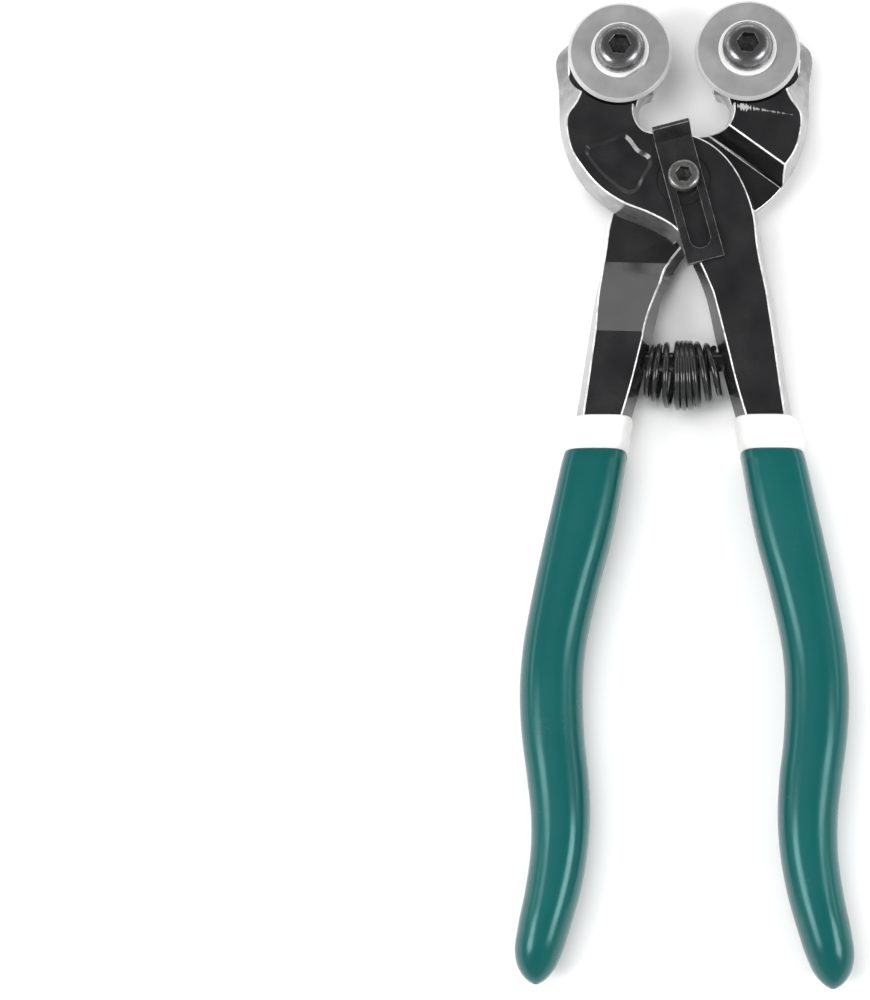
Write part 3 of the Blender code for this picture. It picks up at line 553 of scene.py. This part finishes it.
def place(name, bm, material, body, node=None, slot=None, origin=(0.0, 0.0, 0.0), smooth=32.0):
    """Makes an object of a mesh built in millimetres about origin, and lets it ride on its body."""
    bmesh.ops.scale(bm, vec=(MM, MM, MM), verts=bm.verts)
    bmesh.ops.recalc_face_normals(bm, faces=bm.faces)
    mesh = bpy.data.meshes.new(name)
    bm.to_mesh(mesh)
    bm.free()
    mesh.shade_smooth()
    mesh.set_sharp_from_angle(angle=math.radians(smooth))
    mesh.materials.append(material)
    obj = bpy.data.objects.new(name, mesh)
    obj.location = Vector(origin) * MM
    bpy.context.scene.collection.objects.link(obj)
    if body:
        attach(obj, body)
    if node:
        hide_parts(node)
    return obj


def eased(profile, radius, closed=False):
    """The profile with each corner rounded by a short curve of about that radius."""
    points = []
    last = len(profile) - 1
    for i, corner in enumerate(profile):
        if not closed and i in (0, last):
            points.append(corner)
            continue
        here = Vector(corner)
        before = Vector(profile[i - 1])
        after = Vector(profile[(i + 1) % len(profile)])
        start = here + (before - here) * min(0.45, radius / (before - here).length)
        end = here + (after - here) * min(0.45, radius / (after - here).length)
        for t in (0.0, 0.25, 0.5, 0.75, 1.0):
            points.append(tuple(start * (1 - t) ** 2 + here * 2 * t * (1 - t) + end * t * t))
    return points


def turned(profile, closed=False, steps=ROUND_STEPS):
    """A bmesh turned about Z from a profile of (radius, z)."""
    bm = bmesh.new()
    verts = [bm.verts.new((radius, 0.0, z)) for radius, z in profile]
    pairs = list(zip(verts, verts[1:]))
    if closed:
        pairs.append((verts[-1], verts[0]))
    edges = [bm.edges.new(pair) for pair in pairs]
    bmesh.ops.spin(
        bm, geom=verts + edges, cent=(0, 0, 0), axis=(0, 0, 1), angle=2 * math.pi, steps=steps, use_merge=True
    )
    bmesh.ops.remove_doubles(bm, verts=bm.verts, dist=0.0005)
    return bm


def subtract(obj, cutters):
    """Cuts each bmesh, in millimetres about the object's origin, from obj, and bakes the result."""
    helpers = []
    for bm in cutters:
        bmesh.ops.scale(bm, vec=(MM, MM, MM), verts=bm.verts)
        bmesh.ops.recalc_face_normals(bm, faces=bm.faces)
        mesh = bpy.data.meshes.new("cutter")
        bm.to_mesh(mesh)
        bm.free()
        helper = bpy.data.objects.new("cutter", mesh)
        helper.matrix_world = obj.matrix_world.copy()
        bpy.context.scene.collection.objects.link(helper)
        boolean = obj.modifiers.new("cut", "BOOLEAN")
        boolean.operation = "DIFFERENCE"
        boolean.solver = "EXACT"
        boolean.object = helper
        helpers.append(helper)
    bake_modifiers(obj)
    for helper in helpers:
        bpy.data.objects.remove(helper, do_unlink=True)


def bake_modifiers(obj):
    bpy.context.view_layer.update()
    graph = bpy.context.evaluated_depsgraph_get()
    mesh = bpy.data.meshes.new_from_object(obj.evaluated_get(graph))
    obj.modifiers.clear()
    obj.data = mesh


def soften_edges(obj, width, segments=2, angle=30.0, material_index=-1):
    """Rounds the sharp edges, so that they catch the light."""
    bevel = obj.modifiers.new("soft_edges", "BEVEL")
    bevel.material = material_index
    bevel.width = width * MM
    bevel.segments = segments
    bevel.limit_method = "ANGLE"
    bevel.angle_limit = math.radians(angle)
    bevel.use_clamp_overlap = False
    bevel.miter_outer = "MITER_ARC"
    bake_modifiers(obj)
    obj.data.shade_smooth()
    weighted = obj.modifiers.new("flat_faces", "WEIGHTED_NORMAL")
    weighted.keep_sharp = False
    weighted.weight = 80
    bake_modifiers(obj)


def from_cad(node, material, body, slot, width, edge_material=None):
    """The CAD node's own shape, with its triangles merged into whole faces and its edges rounded."""
    bm = bmesh.new()
    bm.from_mesh(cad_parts[node].data)
    bmesh.ops.scale(bm, vec=(1 / MM,) * 3, verts=bm.verts)
    bmesh.ops.remove_doubles(bm, verts=bm.verts, dist=0.004)
    bmesh.ops.dissolve_limit(
        bm, angle_limit=math.radians(0.6), verts=bm.verts, edges=bm.edges, use_dissolve_boundaries=False
    )
    obj = place(node + "_finished", bm, material, body, node, slot)
    if edge_material:
        obj.data.materials.append(edge_material)
    soften_edges(obj, width, material_index=1 if edge_material else -1)


def hexagonal_prism(across_flats, low, high, turn):
    bm = bmesh.new()
    radius = across_flats / 2 / math.cos(math.pi / 6)
    bmesh.ops.create_cone(bm, cap_ends=True, segments=6, radius1=radius, radius2=radius, depth=high - low)
    bmesh.ops.rotate(bm, cent=(0, 0, 0), matrix=Matrix.Rotation(turn, 3, "Z"), verts=bm.verts)
    bmesh.ops.translate(bm, verts=bm.verts, vec=(0, 0, (low + high) / 2))
    return bm


def drill_point(radius, top, depth):
    """A cone that points down, for the bottom of a drilled socket."""
    bm = bmesh.new()
    bmesh.ops.create_cone(bm, cap_ends=True, segments=32, radius1=0.05, radius2=radius, depth=depth)
    bmesh.ops.translate(bm, verts=bm.verts, vec=(0, 0, top - depth / 2))
    return bm


def centre_mm(node):
    low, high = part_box(node)
    return ((low + high) / 2) / MM


def extent_mm(node):
    low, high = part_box(node)
    return low / MM, high / MM


def spline(knots, steps, corners=()):
    """Points on a smooth curve through the knots, whose first two values set its pace. It has a sharp
    corner at each knot whose index is in corners."""
    last = len(knots) - 1
    spans = [math.dist(a[:2], b[:2]) for a, b in zip(knots, knots[1:])]
    points = []
    for i, span in enumerate(spans):
        chord = slope_between(knots[i], knots[i + 1], span)
        leave = knot_slope(knots, spans, i) if i > 0 and i not in corners else chord
        arrive = knot_slope(knots, spans, i + 1) if i + 1 < last and i + 1 not in corners else chord
        for step in range(steps):
            t = step / steps
            points.append(
                tuple(
                    a * (2 * t**3 - 3 * t**2 + 1)
                    + b * (3 * t**2 - 2 * t**3)
                    + span * c * (t**3 - 2 * t**2 + t)
                    + span * d * (t**3 - t**2)
                    for a, b, c, d in zip(knots[i], knots[i + 1], leave, arrive)
                )
            )
    points.append(tuple(knots[last]))
    return points


def slope_between(start, end, span):
    return [(b - a) / span for a, b in zip(start, end)]


def knot_slope(knots, spans, i):
    """The curve's slope at knot i, weighed by how near its neighbours are."""
    before, after = spans[i - 1], spans[i]
    into = slope_between(knots[i - 1], knots[i], before)
    out_of = slope_between(knots[i], knots[i + 1], after)
    return [(a * after + b * before) / (before + after) for a, b in zip(into, out_of)]


def oval_ring(section, side):
    """Points of a rounded section (y, inner x, outer x, half thickness, squareness)."""
    y, inner, outer, half_thickness, squareness = section
    power = 2 / squareness
    ring = []
    for i in range(RING_POINTS):
        angle = 2 * math.pi * i / RING_POINTS
        across, up = math.cos(angle), math.sin(angle)
        x = (inner + outer) / 2 + (outer - inner) / 2 * math.copysign(abs(across) ** power, across)
        z = PARTING_Z + half_thickness * math.copysign(abs(up) ** power, up)
        ring.append((side * x, y, z))
    return ring


def loft(rings):
    bm = bmesh.new()
    rows = [[bm.verts.new(point) for point in ring] for ring in rings]
    count = len(rows[0])
    for upper, lower in zip(rows, rows[1:]):
        for i in range(count):
            j = (i + 1) % count
            bm.faces.new((upper[i], upper[j], lower[j], lower[i]))
    bm.faces.new(rows[0])
    bm.faces.new(reversed(rows[-1]))
    return bm


# ---------------------------------------------------------------- pieces


def cylinder(radius, low, high, x=0.0, y=0.0, radius_low=None):
    bm = bmesh.new()
    bmesh.ops.create_cone(
        bm,
        cap_ends=True,
        segments=ROUND_STEPS,
        radius1=radius_low or radius,
        radius2=radius,
        depth=high - low,
    )
    bmesh.ops.translate(bm, verts=bm.verts, vec=(x, y, (low + high) / 2))
    return bm


def lever_body():
    """The front lever before it is machined: a drafted head and, below its neck, the handle's loft."""
    bm = bmesh.new()
    corners = {i for i, knot in enumerate(HEAD_KNOTS) if knot[4]}
    outline = spline([knot[:4] for knot in HEAD_KNOTS], 6, corners)
    rim = [bm.verts.new((x, y, PARTING_Z)) for x, y, _, _ in outline]
    front = [bm.verts.new((x, y, HEAD_THICKNESS)) for _, _, x, y in outline]
    back = [bm.verts.new((x, y, 0.0)) for _, _, x, y in outline]
    for i in range(len(rim) - 1):
        bm.faces.new((rim[i], rim[i + 1], front[i + 1], front[i]))
        bm.faces.new((rim[i + 1], rim[i], back[i], back[i + 1]))
    bm.faces.new(front)
    bm.faces.new(reversed(back))
    row = [rim[-1], front[-1], front[0], rim[0], back[0], back[-1]]
    for y, inner, outer, half, inset in spline(STEEL_KNOTS, 5)[1:]:
        lower = []
        for x, z in (
            (inner, 0.0),
            (inner + inset, half),
            (outer - inset, half),
            (outer, 0.0),
            (outer - inset, -half),
            (inner + inset, -half),
        ):
            lower.append(bm.verts.new((x, y, PARTING_Z + z)))
        for i in range(6):
            j = (i + 1) % 6
            bm.faces.new((row[i], row[j], lower[j], lower[i]))
        row = lower
    bm.faces.new(reversed(row))
    return bm


def half_plane_point(angle, distance, x):
    """The point at x on the line that is square to the angle at a distance from the pivot."""
    return (x, (distance - x * math.cos(angle)) / math.sin(angle))


def lap_cutter():
    """What is milled from the front lever's back to lay it over the rear one, with its two ramps."""
    bottom = -1.0
    reach = 32.0
    jaw_slope = (JAW_RAMP_HEAD - JAW_RAMP_FOOT) / LAP_Z
    rings = []
    for z in (LAP_Z, bottom):
        jaw = JAW_RAMP_FOOT + jaw_slope * (LAP_Z - z)
        neck = NECK_RAMP_FOOT + NECK_RAMP_RUN_PER_RISE * (LAP_Z - z)
        corners = [
            half_plane_point(JAW_RAMP_ANGLE, jaw, -reach),
            half_plane_point(NECK_RAMP_ANGLE, neck, -reach),
            half_plane_point(NECK_RAMP_ANGLE, neck, reach),
            half_plane_point(JAW_RAMP_ANGLE, jaw, reach),
        ]
        rings.append([(x, y, z) for x, y in corners])
    return loft(rings)


def neck_relief_cutter():
    """What the relief takes off the back of the front lever's neck."""
    over = 0.35  # how far the slanted face runs on past each of its edges, as a share of its width
    clear = 2.0
    rings = []
    for y, wall_x, wall_z, ramp_x, ramp_z in spline(NECK_RELIEF_KNOTS, 6):
        run, rise = (wall_x - ramp_x) * over, (wall_z - ramp_z) * over
        top_x, top_z = wall_x + run, wall_z + rise
        low_x, low_z = ramp_x - run, ramp_z - rise
        outside = top_x - clear
        rings.append([(top_x, y, top_z), (low_x, y, low_z), (outside, y, low_z), (outside, y, top_z)])
    return loft(rings)


def panel_cutter():
    """The sunk panel in the front lever's face, with sloping walls."""
    outline = spline([*PANEL_KNOTS, PANEL_KNOTS[0]], 8)[:-1]
    over = HEAD_THICKNESS + 1.0
    return loft(
        [
            [(x, y, over) for x, y, _, _ in outline],
            [(x, y, HEAD_THICKNESS) for x, y, _, _ in outline],
            [(x, y, HEAD_THICKNESS - PANEL_DEPTH) for _, _, x, y in outline],
        ]
    )


def peg_hole_cutter():
    bm = cylinder(PEG_RADIUS + 0.1, 0.0, PEG_SEAT_X + 0.3)
    bmesh.ops.rotate(bm, cent=(0, 0, 0), matrix=Matrix.Rotation(math.pi / 2, 3, "Y"), verts=bm.verts)
    bmesh.ops.translate(bm, verts=bm.verts, vec=(0.0, PEG_Y, PARTING_Z))
    return bm


def turn_over(bm):
    half_turn = Matrix.Rotation(math.pi, 3, "Y")
    bmesh.ops.rotate(bm, cent=(0, 0, PARTING_Z), matrix=half_turn, verts=bm.verts)
    return bm


def make_lever(name, body, materials):
    """A lever with its slight corners nearly sharp and its outline's edges rounded and coloured bright,
    partly as worn enamel and partly as a painted highlight.
    """
    front = name == "front_lever"
    turn = (lambda bm: bm) if front else turn_over
    side = -1 if front else 1
    if front:
        pivot = cylinder(RIVET_RADIUS + 0.1, 5.0, 17.0)
        countersink = []
    else:
        pivot = cylinder(RIVET_RADIUS + 0.1, -1.0, 9.0)
        countersink = [cylinder(RIVET_RADIUS + 0.1, -0.8, 2.4, radius_low=8.1)]
    cutters = [
        turn(lap_cutter()),
        turn(neck_relief_cutter()),
        turn(panel_cutter()),
        turn(peg_hole_cutter()),
        cylinder(SEAT_RADIUS, SEAT_Z, 18.0, side * WHEEL_X, WHEEL_Y),
        cylinder(SCREW_RADIUS + 0.1, -1.0, 18.0, side * WHEEL_X, WHEEL_Y),
        pivot,
        *countersink,
    ]
    obj = place(name + "_finished", turn(lever_body()), materials[0], body, name, "enamelled_steel")
    obj.data.materials.append(materials[1])
    obj.data.materials.append(materials[2])
    subtract(obj, cutters)
    enamel_ramp(obj, -1 if front else 1)
    round_edges(obj, lambda angle, level, outer: 10.0 < angle <= 45.0 and level, 0.1, 2, 0)
    # The outline's rounded edges take the light second material, partly a painted highlight
    round_edges(obj, lambda angle, level, outer: angle > 45.0 and outer, 0.28, 3, 1)
    flatten_shading(obj)
    return obj


def enamel_ramp(obj, side):
    """Gives the jaw's ramp the third material, the plain enamel."""
    lean = math.atan2(LAP_Z, JAW_RAMP_HEAD - JAW_RAMP_FOOT)
    towards = Vector((math.cos(JAW_RAMP_ANGLE), math.sin(JAW_RAMP_ANGLE)))
    ramp_normal = Vector((-towards.x * math.sin(lean), -towards.y * math.sin(lean), -math.cos(lean)))
    if side > 0:
        ramp_normal = Vector((-ramp_normal.x, ramp_normal.y, -ramp_normal.z))
    for face in obj.data.polygons:
        if face.normal.dot(ramp_normal) > 0.999:
            face.material_index = 2


def round_edges(obj, wanted, width, segments, material_index):
    """Rounds the edges picked by their angle, by whether they lie level, and by whether they are on the
    outline rather than round the pivot or a wheel."""
    mesh = obj.data
    bm = bmesh.new()
    bm.from_mesh(mesh)
    bmesh.ops.remove_doubles(bm, verts=bm.verts, dist=0.06 * MM)
    bmesh.ops.dissolve_degenerate(bm, edges=bm.edges, dist=0.02 * MM)
    weight = bm.edges.layers.float.get("bevel_weight_edge") or bm.edges.layers.float.new("bevel_weight_edge")
    for edge in bm.edges:
        middle = (edge.verts[0].co + edge.verts[1].co) / 2 / MM
        along = edge.verts[1].co - edge.verts[0].co
        level = abs(along.z) < 0.6 * along.length
        wheel = Vector((math.copysign(WHEEL_X, middle.x), WHEEL_Y))
        from_wheel = (middle.xy - wheel).length
        at_seat = abs(from_wheel - SEAT_RADIUS) < 0.3 or from_wheel < SCREW_RADIUS + 0.5
        at_peg = Vector((middle.y - PEG_Y, middle.z - PARTING_Z)).length < PEG_RADIUS + 0.5
        outer = middle.xy.length > 8.2 and not at_seat and not at_peg
        worn_and_highlit = any(face.material_index == 1 for face in edge.link_faces)
        angle = math.degrees(edge.calc_face_angle(0.0))
        edge[weight] = 1.0 if not worn_and_highlit and wanted(angle, level, outer) else 0.0
    bm.to_mesh(mesh)
    bm.free()
    bevel = obj.modifiers.new("round", "BEVEL")
    bevel.width = width * MM
    bevel.segments = segments
    bevel.limit_method = "WEIGHT"
    bevel.use_clamp_overlap = False
    bevel.material = material_index
    bake_modifiers(obj)


def flatten_shading(obj):
    """Smooth shading that keeps the broad faces flat up to their rounded edges."""
    obj.data.shade_smooth()
    obj.data.set_sharp_from_angle(angle=math.radians(36.0))
    weighted = obj.modifiers.new("flat_faces", "WEIGHTED_NORMAL")
    weighted.keep_sharp = True
    weighted.weight = 80
    bake_modifiers(obj)


def make_wheel(side_name, body, material, edge_material):
    node = side_name + "_wheel"
    low, high = extent_mm(node)
    centre = centre_mm(node)
    radius = (high.x - low.x) / 2
    edge = high.z - WHEEL_EDGE_DROP
    bore = SCREW_RADIUS + TURN_PLAY
    profile = [
        (bore, high.z),
        (radius - WHEEL_FACE_INSET, high.z),
        (radius, edge),
        (WHEEL_HUB_RADIUS, edge - WHEEL_RIM_DEPTH),
        (WHEEL_HUB_RADIUS, low.z),
        (bore, low.z),
    ]
    bm = turned(eased(profile, 0.06, closed=True), closed=True)
    origin = (centre.x, centre.y, 0.0)
    obj = place(node + "_finished", bm, material, body, node, "carbide", origin, smooth=20.0)
    obj.data.materials.append(edge_material)
    # The bevel round the cutting edge takes the lighter second material: a finer-ground edge and a painted
    # highlight
    for face in obj.data.polygons:
        if face.center.xy.length > (radius - WHEEL_FACE_INSET - 0.02) * MM and face.normal.z > 0.3:
            face.material_index = 1


def make_washer(side_name, body, material):
    node = side_name + "_wheel_washer"
    low, high = extent_mm(node)
    wheel = centre_mm(side_name + "_wheel")
    radius = high.y - wheel.y
    bore = SCREW_RADIUS + TURN_PLAY
    profile = [(bore, high.z), (radius, high.z), (radius, low.z), (bore, low.z)]
    bm = turned(eased(profile, 0.18, closed=True), closed=True)
    if side_name == "left":
        outward = Vector((math.cos(WASHER_FLAT_ANGLE), math.sin(WASHER_FLAT_ANGLE), 0.0))
        cut = bmesh.ops.bisect_plane(
            bm,
            geom=bm.verts[:] + bm.edges[:] + bm.faces[:],
            plane_co=outward * WASHER_FLAT,
            plane_no=outward,
            clear_outer=True,
        )
        rim = [item for item in cut["geom_cut"] if isinstance(item, bmesh.types.BMEdge)]
        bmesh.ops.contextual_create(bm, geom=rim)
    place(node + "_finished", bm, material, body, node, "nickel", (wheel.x, wheel.y, 0.0), smooth=28.0)


def darken_socket(obj, socket_shade, radius, top):
    """Gives the inside of the socket that opens at the height top the second material, the painted shade."""
    obj.data.materials.append(socket_shade)
    for face in obj.data.polygons:
        inside = face.center.xy.length < radius * MM
        if inside and (top - SOCKET_REACH) * MM < face.center.z < (top - SOCKET_RIM) * MM:
            face.material_index = 1


def make_wheel_screw(side_name, body, material, socket_shade):
    node = side_name + "_wheel_screw"
    low, high = extent_mm(node)
    washer_top = extent_mm(side_name + "_wheel_washer")[1].z
    wheel = centre_mm(side_name + "_wheel")
    head_radius = (high.x - low.x) / 2
    seat = washer_top + 0.1
    straight = 0.9
    flat_radius = 2.7
    profile = [(0.0, high.z), (flat_radius, high.z)]
    dome_steps = 18
    for i in range(1, dome_steps + 1):
        angle = math.pi / 2 * (1 - i / dome_steps)
        radius = flat_radius + (head_radius - flat_radius) * math.cos(angle)
        profile.append((radius, seat + straight + (high.z - seat - straight) * math.sin(angle)))
    profile += [
        (head_radius, seat + 0.3),
        (head_radius - 0.15, seat + 0.08),
        (head_radius - 0.4, seat),
        (SCREW_RADIUS, seat),
        (SCREW_RADIUS, low.z + 0.6),
        (SCREW_RADIUS - 0.6, low.z),
        (0.0, low.z),
    ]
    origin = (wheel.x, wheel.y, 0.0)
    obj = place(node + "_finished", turned(profile), material, body, node, "blackened_steel", origin)
    socket = hexagonal_prism(SCREW_HEX, high.z - SCREW_SOCKET_DEPTH, high.z + 1.0, SOCKET_TURN)
    subtract(obj, [socket, drill_point(1.95, high.z - SCREW_SOCKET_DEPTH + 0.05, 0.9)])
    darken_socket(obj, socket_shade, 2.35, high.z)
    soften_edges(obj, 0.1, angle=35.0)


def make_gauge_screw(material, socket_shade):
    node = "gauge_screw"
    low, high = extent_mm(node)
    centre = centre_mm(node)
    head_radius = (high.x - low.x) / 2
    seat = extent_mm("gauge_plate")[0].z + 1.1 + 0.2
    profile = [
        (0.0, high.z),
        (head_radius - 0.75, high.z),
        (head_radius - 0.35, high.z - 0.1),
        (head_radius - 0.1, high.z - 0.35),
        (head_radius, high.z - 0.75),
        (head_radius, seat + 0.1),
        (head_radius - 0.1, seat),
        (GAUGE_SCREW_RADIUS, seat),
        (GAUGE_SCREW_RADIUS, low.z),
        (0.0, low.z),
    ]
    origin = (centre.x, centre.y, 0.0)
    obj = place(node + "_finished", turned(profile), material, "gauge_clamp", node, "nickel", origin)
    socket = hexagonal_prism(GAUGE_HEX, high.z - GAUGE_SOCKET_DEPTH, high.z + 1.0, SOCKET_TURN)
    subtract(obj, [socket, drill_point(1.45, high.z - GAUGE_SOCKET_DEPTH + 0.05, 0.7)])
    darken_socket(obj, socket_shade, 1.78, high.z)
    soften_edges(obj, 0.09, angle=35.0)


def make_rivet(material):
    node = "pivot_rivet"
    low, high = extent_mm(node)
    shank = RIVET_RADIUS
    flange = (high.x - low.x) / 2
    profile = [
        (0.0, 6.5),
        (2.1, 7.0),
        (2.1, high.z),
        (shank - 0.15, high.z),
        (shank, high.z - 0.15),
        (shank, 2.2),
        (flange, 0.6),
        (flange, 0.12),
        (flange - 0.12, 0.0),
        (0.0, 0.0),
    ]
    bm = turned(profile)
    place(node + "_finished", bm, material, "front_half", node, "enamelled_steel", smooth=28.0)


def make_grip(side_name, side, body, material):
    sections = spline(GRIP_KNOTS, 5)
    top = sections[0]
    lip = []
    for drop, inset in ((0.0, 0.55), (0.06, 0.28), (0.2, 0.1)):
        lip.append((top[0] - drop, top[1] + inset, top[2] - inset, top[3] - inset, top[4]))
    sections = lip + [(top[0] - 0.5, *top[1:])] + sections[1:]
    bm = loft([oval_ring(section, side) for section in sections])
    place(side_name + "_grip_finished", bm, material, body, side_name + "_grip", "green_vinyl", smooth=50.0)


def make_collar(side_name, side, body, material):
    bm = loft([oval_ring(section, side) for section in spline(COLLAR_KNOTS, 4)])
    node = side_name + "_sleeve"
    place(side_name + "_collar_finished", bm, material, body, node, "white_vinyl", smooth=50.0)


def spring_x(turn):
    """Where along X the wire is after that many turns."""
    for (start, low), (end, high) in zip(SPRING_PITCH, SPRING_PITCH[1:]):
        if turn <= end:
            return SPRING_HALF_LENGTH * (low + (high - low) * (turn - start) / (end - start))
    return SPRING_HALF_LENGTH


def spring_point(turn):
    x = spring_x(turn)
    share = x / SPRING_HALF_LENGTH
    bulge = math.cos(share * math.pi / 2) ** 0.8 if abs(share) < 1 else 0.0
    radius = SPRING_END_RADIUS + (SPRING_MIDDLE_RADIUS - SPRING_END_RADIUS) * bulge
    tilt = SPRING_TILT * share
    up = radius * math.cos(2 * math.pi * turn)
    y = SPRING_Y - SPRING_SAG * (1 - share * share) + up * math.cos(tilt)
    return (x - up * math.sin(tilt), y, PARTING_Z + radius * math.sin(2 * math.pi * turn))


def make_spring(material):
    curve = bpy.data.curves.new("spring_line", "CURVE")
    curve.dimensions = "3D"
    curve.bevel_depth = SPRING_WIRE_RADIUS * MM
    curve.bevel_resolution = 5
    curve.use_fill_caps = True
    count = SPRING_TURNS * SPRING_POINTS_PER_TURN + 1
    line = curve.splines.new("POLY")
    line.points.add(count - 1)
    for i in range(count):
        x, y, z = spring_point(i / SPRING_POINTS_PER_TURN)
        line.points[i].co = (x * MM, y * MM, z * MM, 1.0)
    helper = bpy.data.objects.new("spring_line", curve)
    bpy.context.scene.collection.objects.link(helper)
    bpy.context.view_layer.update()
    graph = bpy.context.evaluated_depsgraph_get()
    mesh = bpy.data.meshes.new_from_object(helper.evaluated_get(graph))
    bpy.data.objects.remove(helper, do_unlink=True)
    mesh.materials.clear()
    mesh.materials.append(material)
    mesh.shade_smooth()
    spring = bpy.data.objects.new("spring_finished", mesh)
    bpy.context.scene.collection.objects.link(spring)
    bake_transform(spring)
    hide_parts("spring")


# ---------------------------------------------------------------- studio


def make_camera():
    data = bpy.data.cameras.new("camera")
    data.lens = CAMERA_LENS
    data.clip_start = 0.01
    data.clip_end = 20.0
    camera = bpy.data.objects.new("camera", data)
    tilt = Matrix.Rotation(CAMERA_TILT, 4, "X")
    yaw = Matrix.Rotation(CAMERA_YAW, 4, "Y")
    camera.matrix_world = Matrix.Translation((0.0, CAMERA_Y * MM, CAMERA_HEIGHT * MM)) @ tilt @ yaw
    bpy.context.scene.collection.objects.link(camera)
    bpy.context.scene.camera = camera


def softbox(name, place_m, size, power, aim=(0.0, -0.04, 0.0)):
    data = bpy.data.lights.new(name, "AREA")
    data.shape = "RECTANGLE"
    data.size, data.size_y = size
    data.energy = power
    light = bpy.data.objects.new(name, data)
    light.location = place_m
    direction = Vector(aim) - Vector(place_m)
    light.rotation_euler = direction.to_track_quat("-Z", "Y").to_euler()
    bpy.context.scene.collection.objects.link(light)
    return light


def make_studio():
    bm = bmesh.new()
    bmesh.ops.create_grid(bm, x_segments=1, y_segments=1, size=3000.0)
    floor = place("floor", bm, floor_paper(), None, origin=(0.0, 0.0, 0.0))
    world = bpy.data.worlds.new("studio")
    bpy.context.scene.world = world
    world.use_nodes = True
    tree = world.node_tree
    direction = add_node(tree, "ShaderNodeTexCoord")
    parts = add_node(tree, "ShaderNodeSeparateXYZ")
    tree.links.new(direction.outputs["Generated"], parts.inputs["Vector"])
    sky = ramp(tree, parts.outputs["Z"], [(0.0, 0.55), (0.3, 0.5), (0.6, 0.28), (0.8, 0.06), (1.0, 0.04)])
    tree.links.new(sky, tree.nodes["Background"].inputs["Color"])
    tree.nodes["Background"].inputs["Strength"].default_value = 0.9
    for side in (-1, 1):
        softbox("grip_box", (side * 0.57, -0.27, 0.60), (0.36, 0.36), 3.4, (0.0, -0.13, 0.0))
        softbox("edge_box", (side * 0.70, 0.22, 0.30), (0.6, 0.14), 0.6, (0.0, 0.0, 0.0))
    softbox("far_box", (0.0, 0.9, 0.5), (0.7, 0.3), 1.0)
    ceiling = softbox("ceiling", (-0.1, 0.0, 1.2), (2.0, 2.0), 8.4)
    key = softbox("key", (-0.22, 0.0, 1.05), (0.5, 0.5), 4.8)
    for light in (ceiling, key):
        light.visible_glossy = False
    bpy.context.scene.view_settings.view_transform = "Standard"


def main():
    steel = enamelled_steel()
    carbide = ground_wheel("ground_wheel", 0.29, 0.38)
    # Lighter grinding for the wheels' edge bevels, also a painted highlight
    honed_and_highlit = ground_wheel("wheel_edge_honed_and_highlit", 0.5, 0.62)
    nickel = nickel_plate()
    screw = blackened_screw()
    green = green_vinyl()
    white = white_vinyl()
    worn_and_highlit = worn_and_highlit_edge()
    with_lit_walls = enamelled_steel("enamelled_walls", with_lit_walls=True)
    folded = enamelled_steel("enamelled_walls_folded", with_lit_walls=True, folded=True)
    make_lever("front_lever", "front_half", [with_lit_walls, worn_and_highlit, steel])
    make_lever("rear_lever", "rear_half", [folded, worn_and_highlit, steel])
    from_cad("left_spring_peg", steel, "rear_half", "enamelled_steel", 0.12)
    from_cad("right_spring_peg", steel, "front_half", "enamelled_steel", 0.12)
    from_cad("gauge_plate", black_sheet(), "gauge_slider", "black_sheet", 0.13, sheet_edge_wear_and_highlight())
    make_rivet(steel)
    # Painted shade for the insides of the screws' sockets
    socket_shade = socket_painted_shade()
    make_gauge_screw(mottled_nickel(), socket_shade)
    lever_of = {"left": "front_half", "right": "rear_half"}
    grip_of = {"left": "rear_half", "right": "front_half"}
    for side_name, side in (("left", -1), ("right", 1)):
        make_wheel(side_name, side_name + "_wheel_body", carbide, honed_and_highlit)
        make_washer(side_name, lever_of[side_name], nickel)
        make_wheel_screw(side_name, lever_of[side_name], screw, socket_shade)
        make_grip(side_name, side, grip_of[side_name], green)
        make_collar(side_name, side, grip_of[side_name], white)
    make_spring(spring_wire())
    make_studio()
    make_camera()


main()
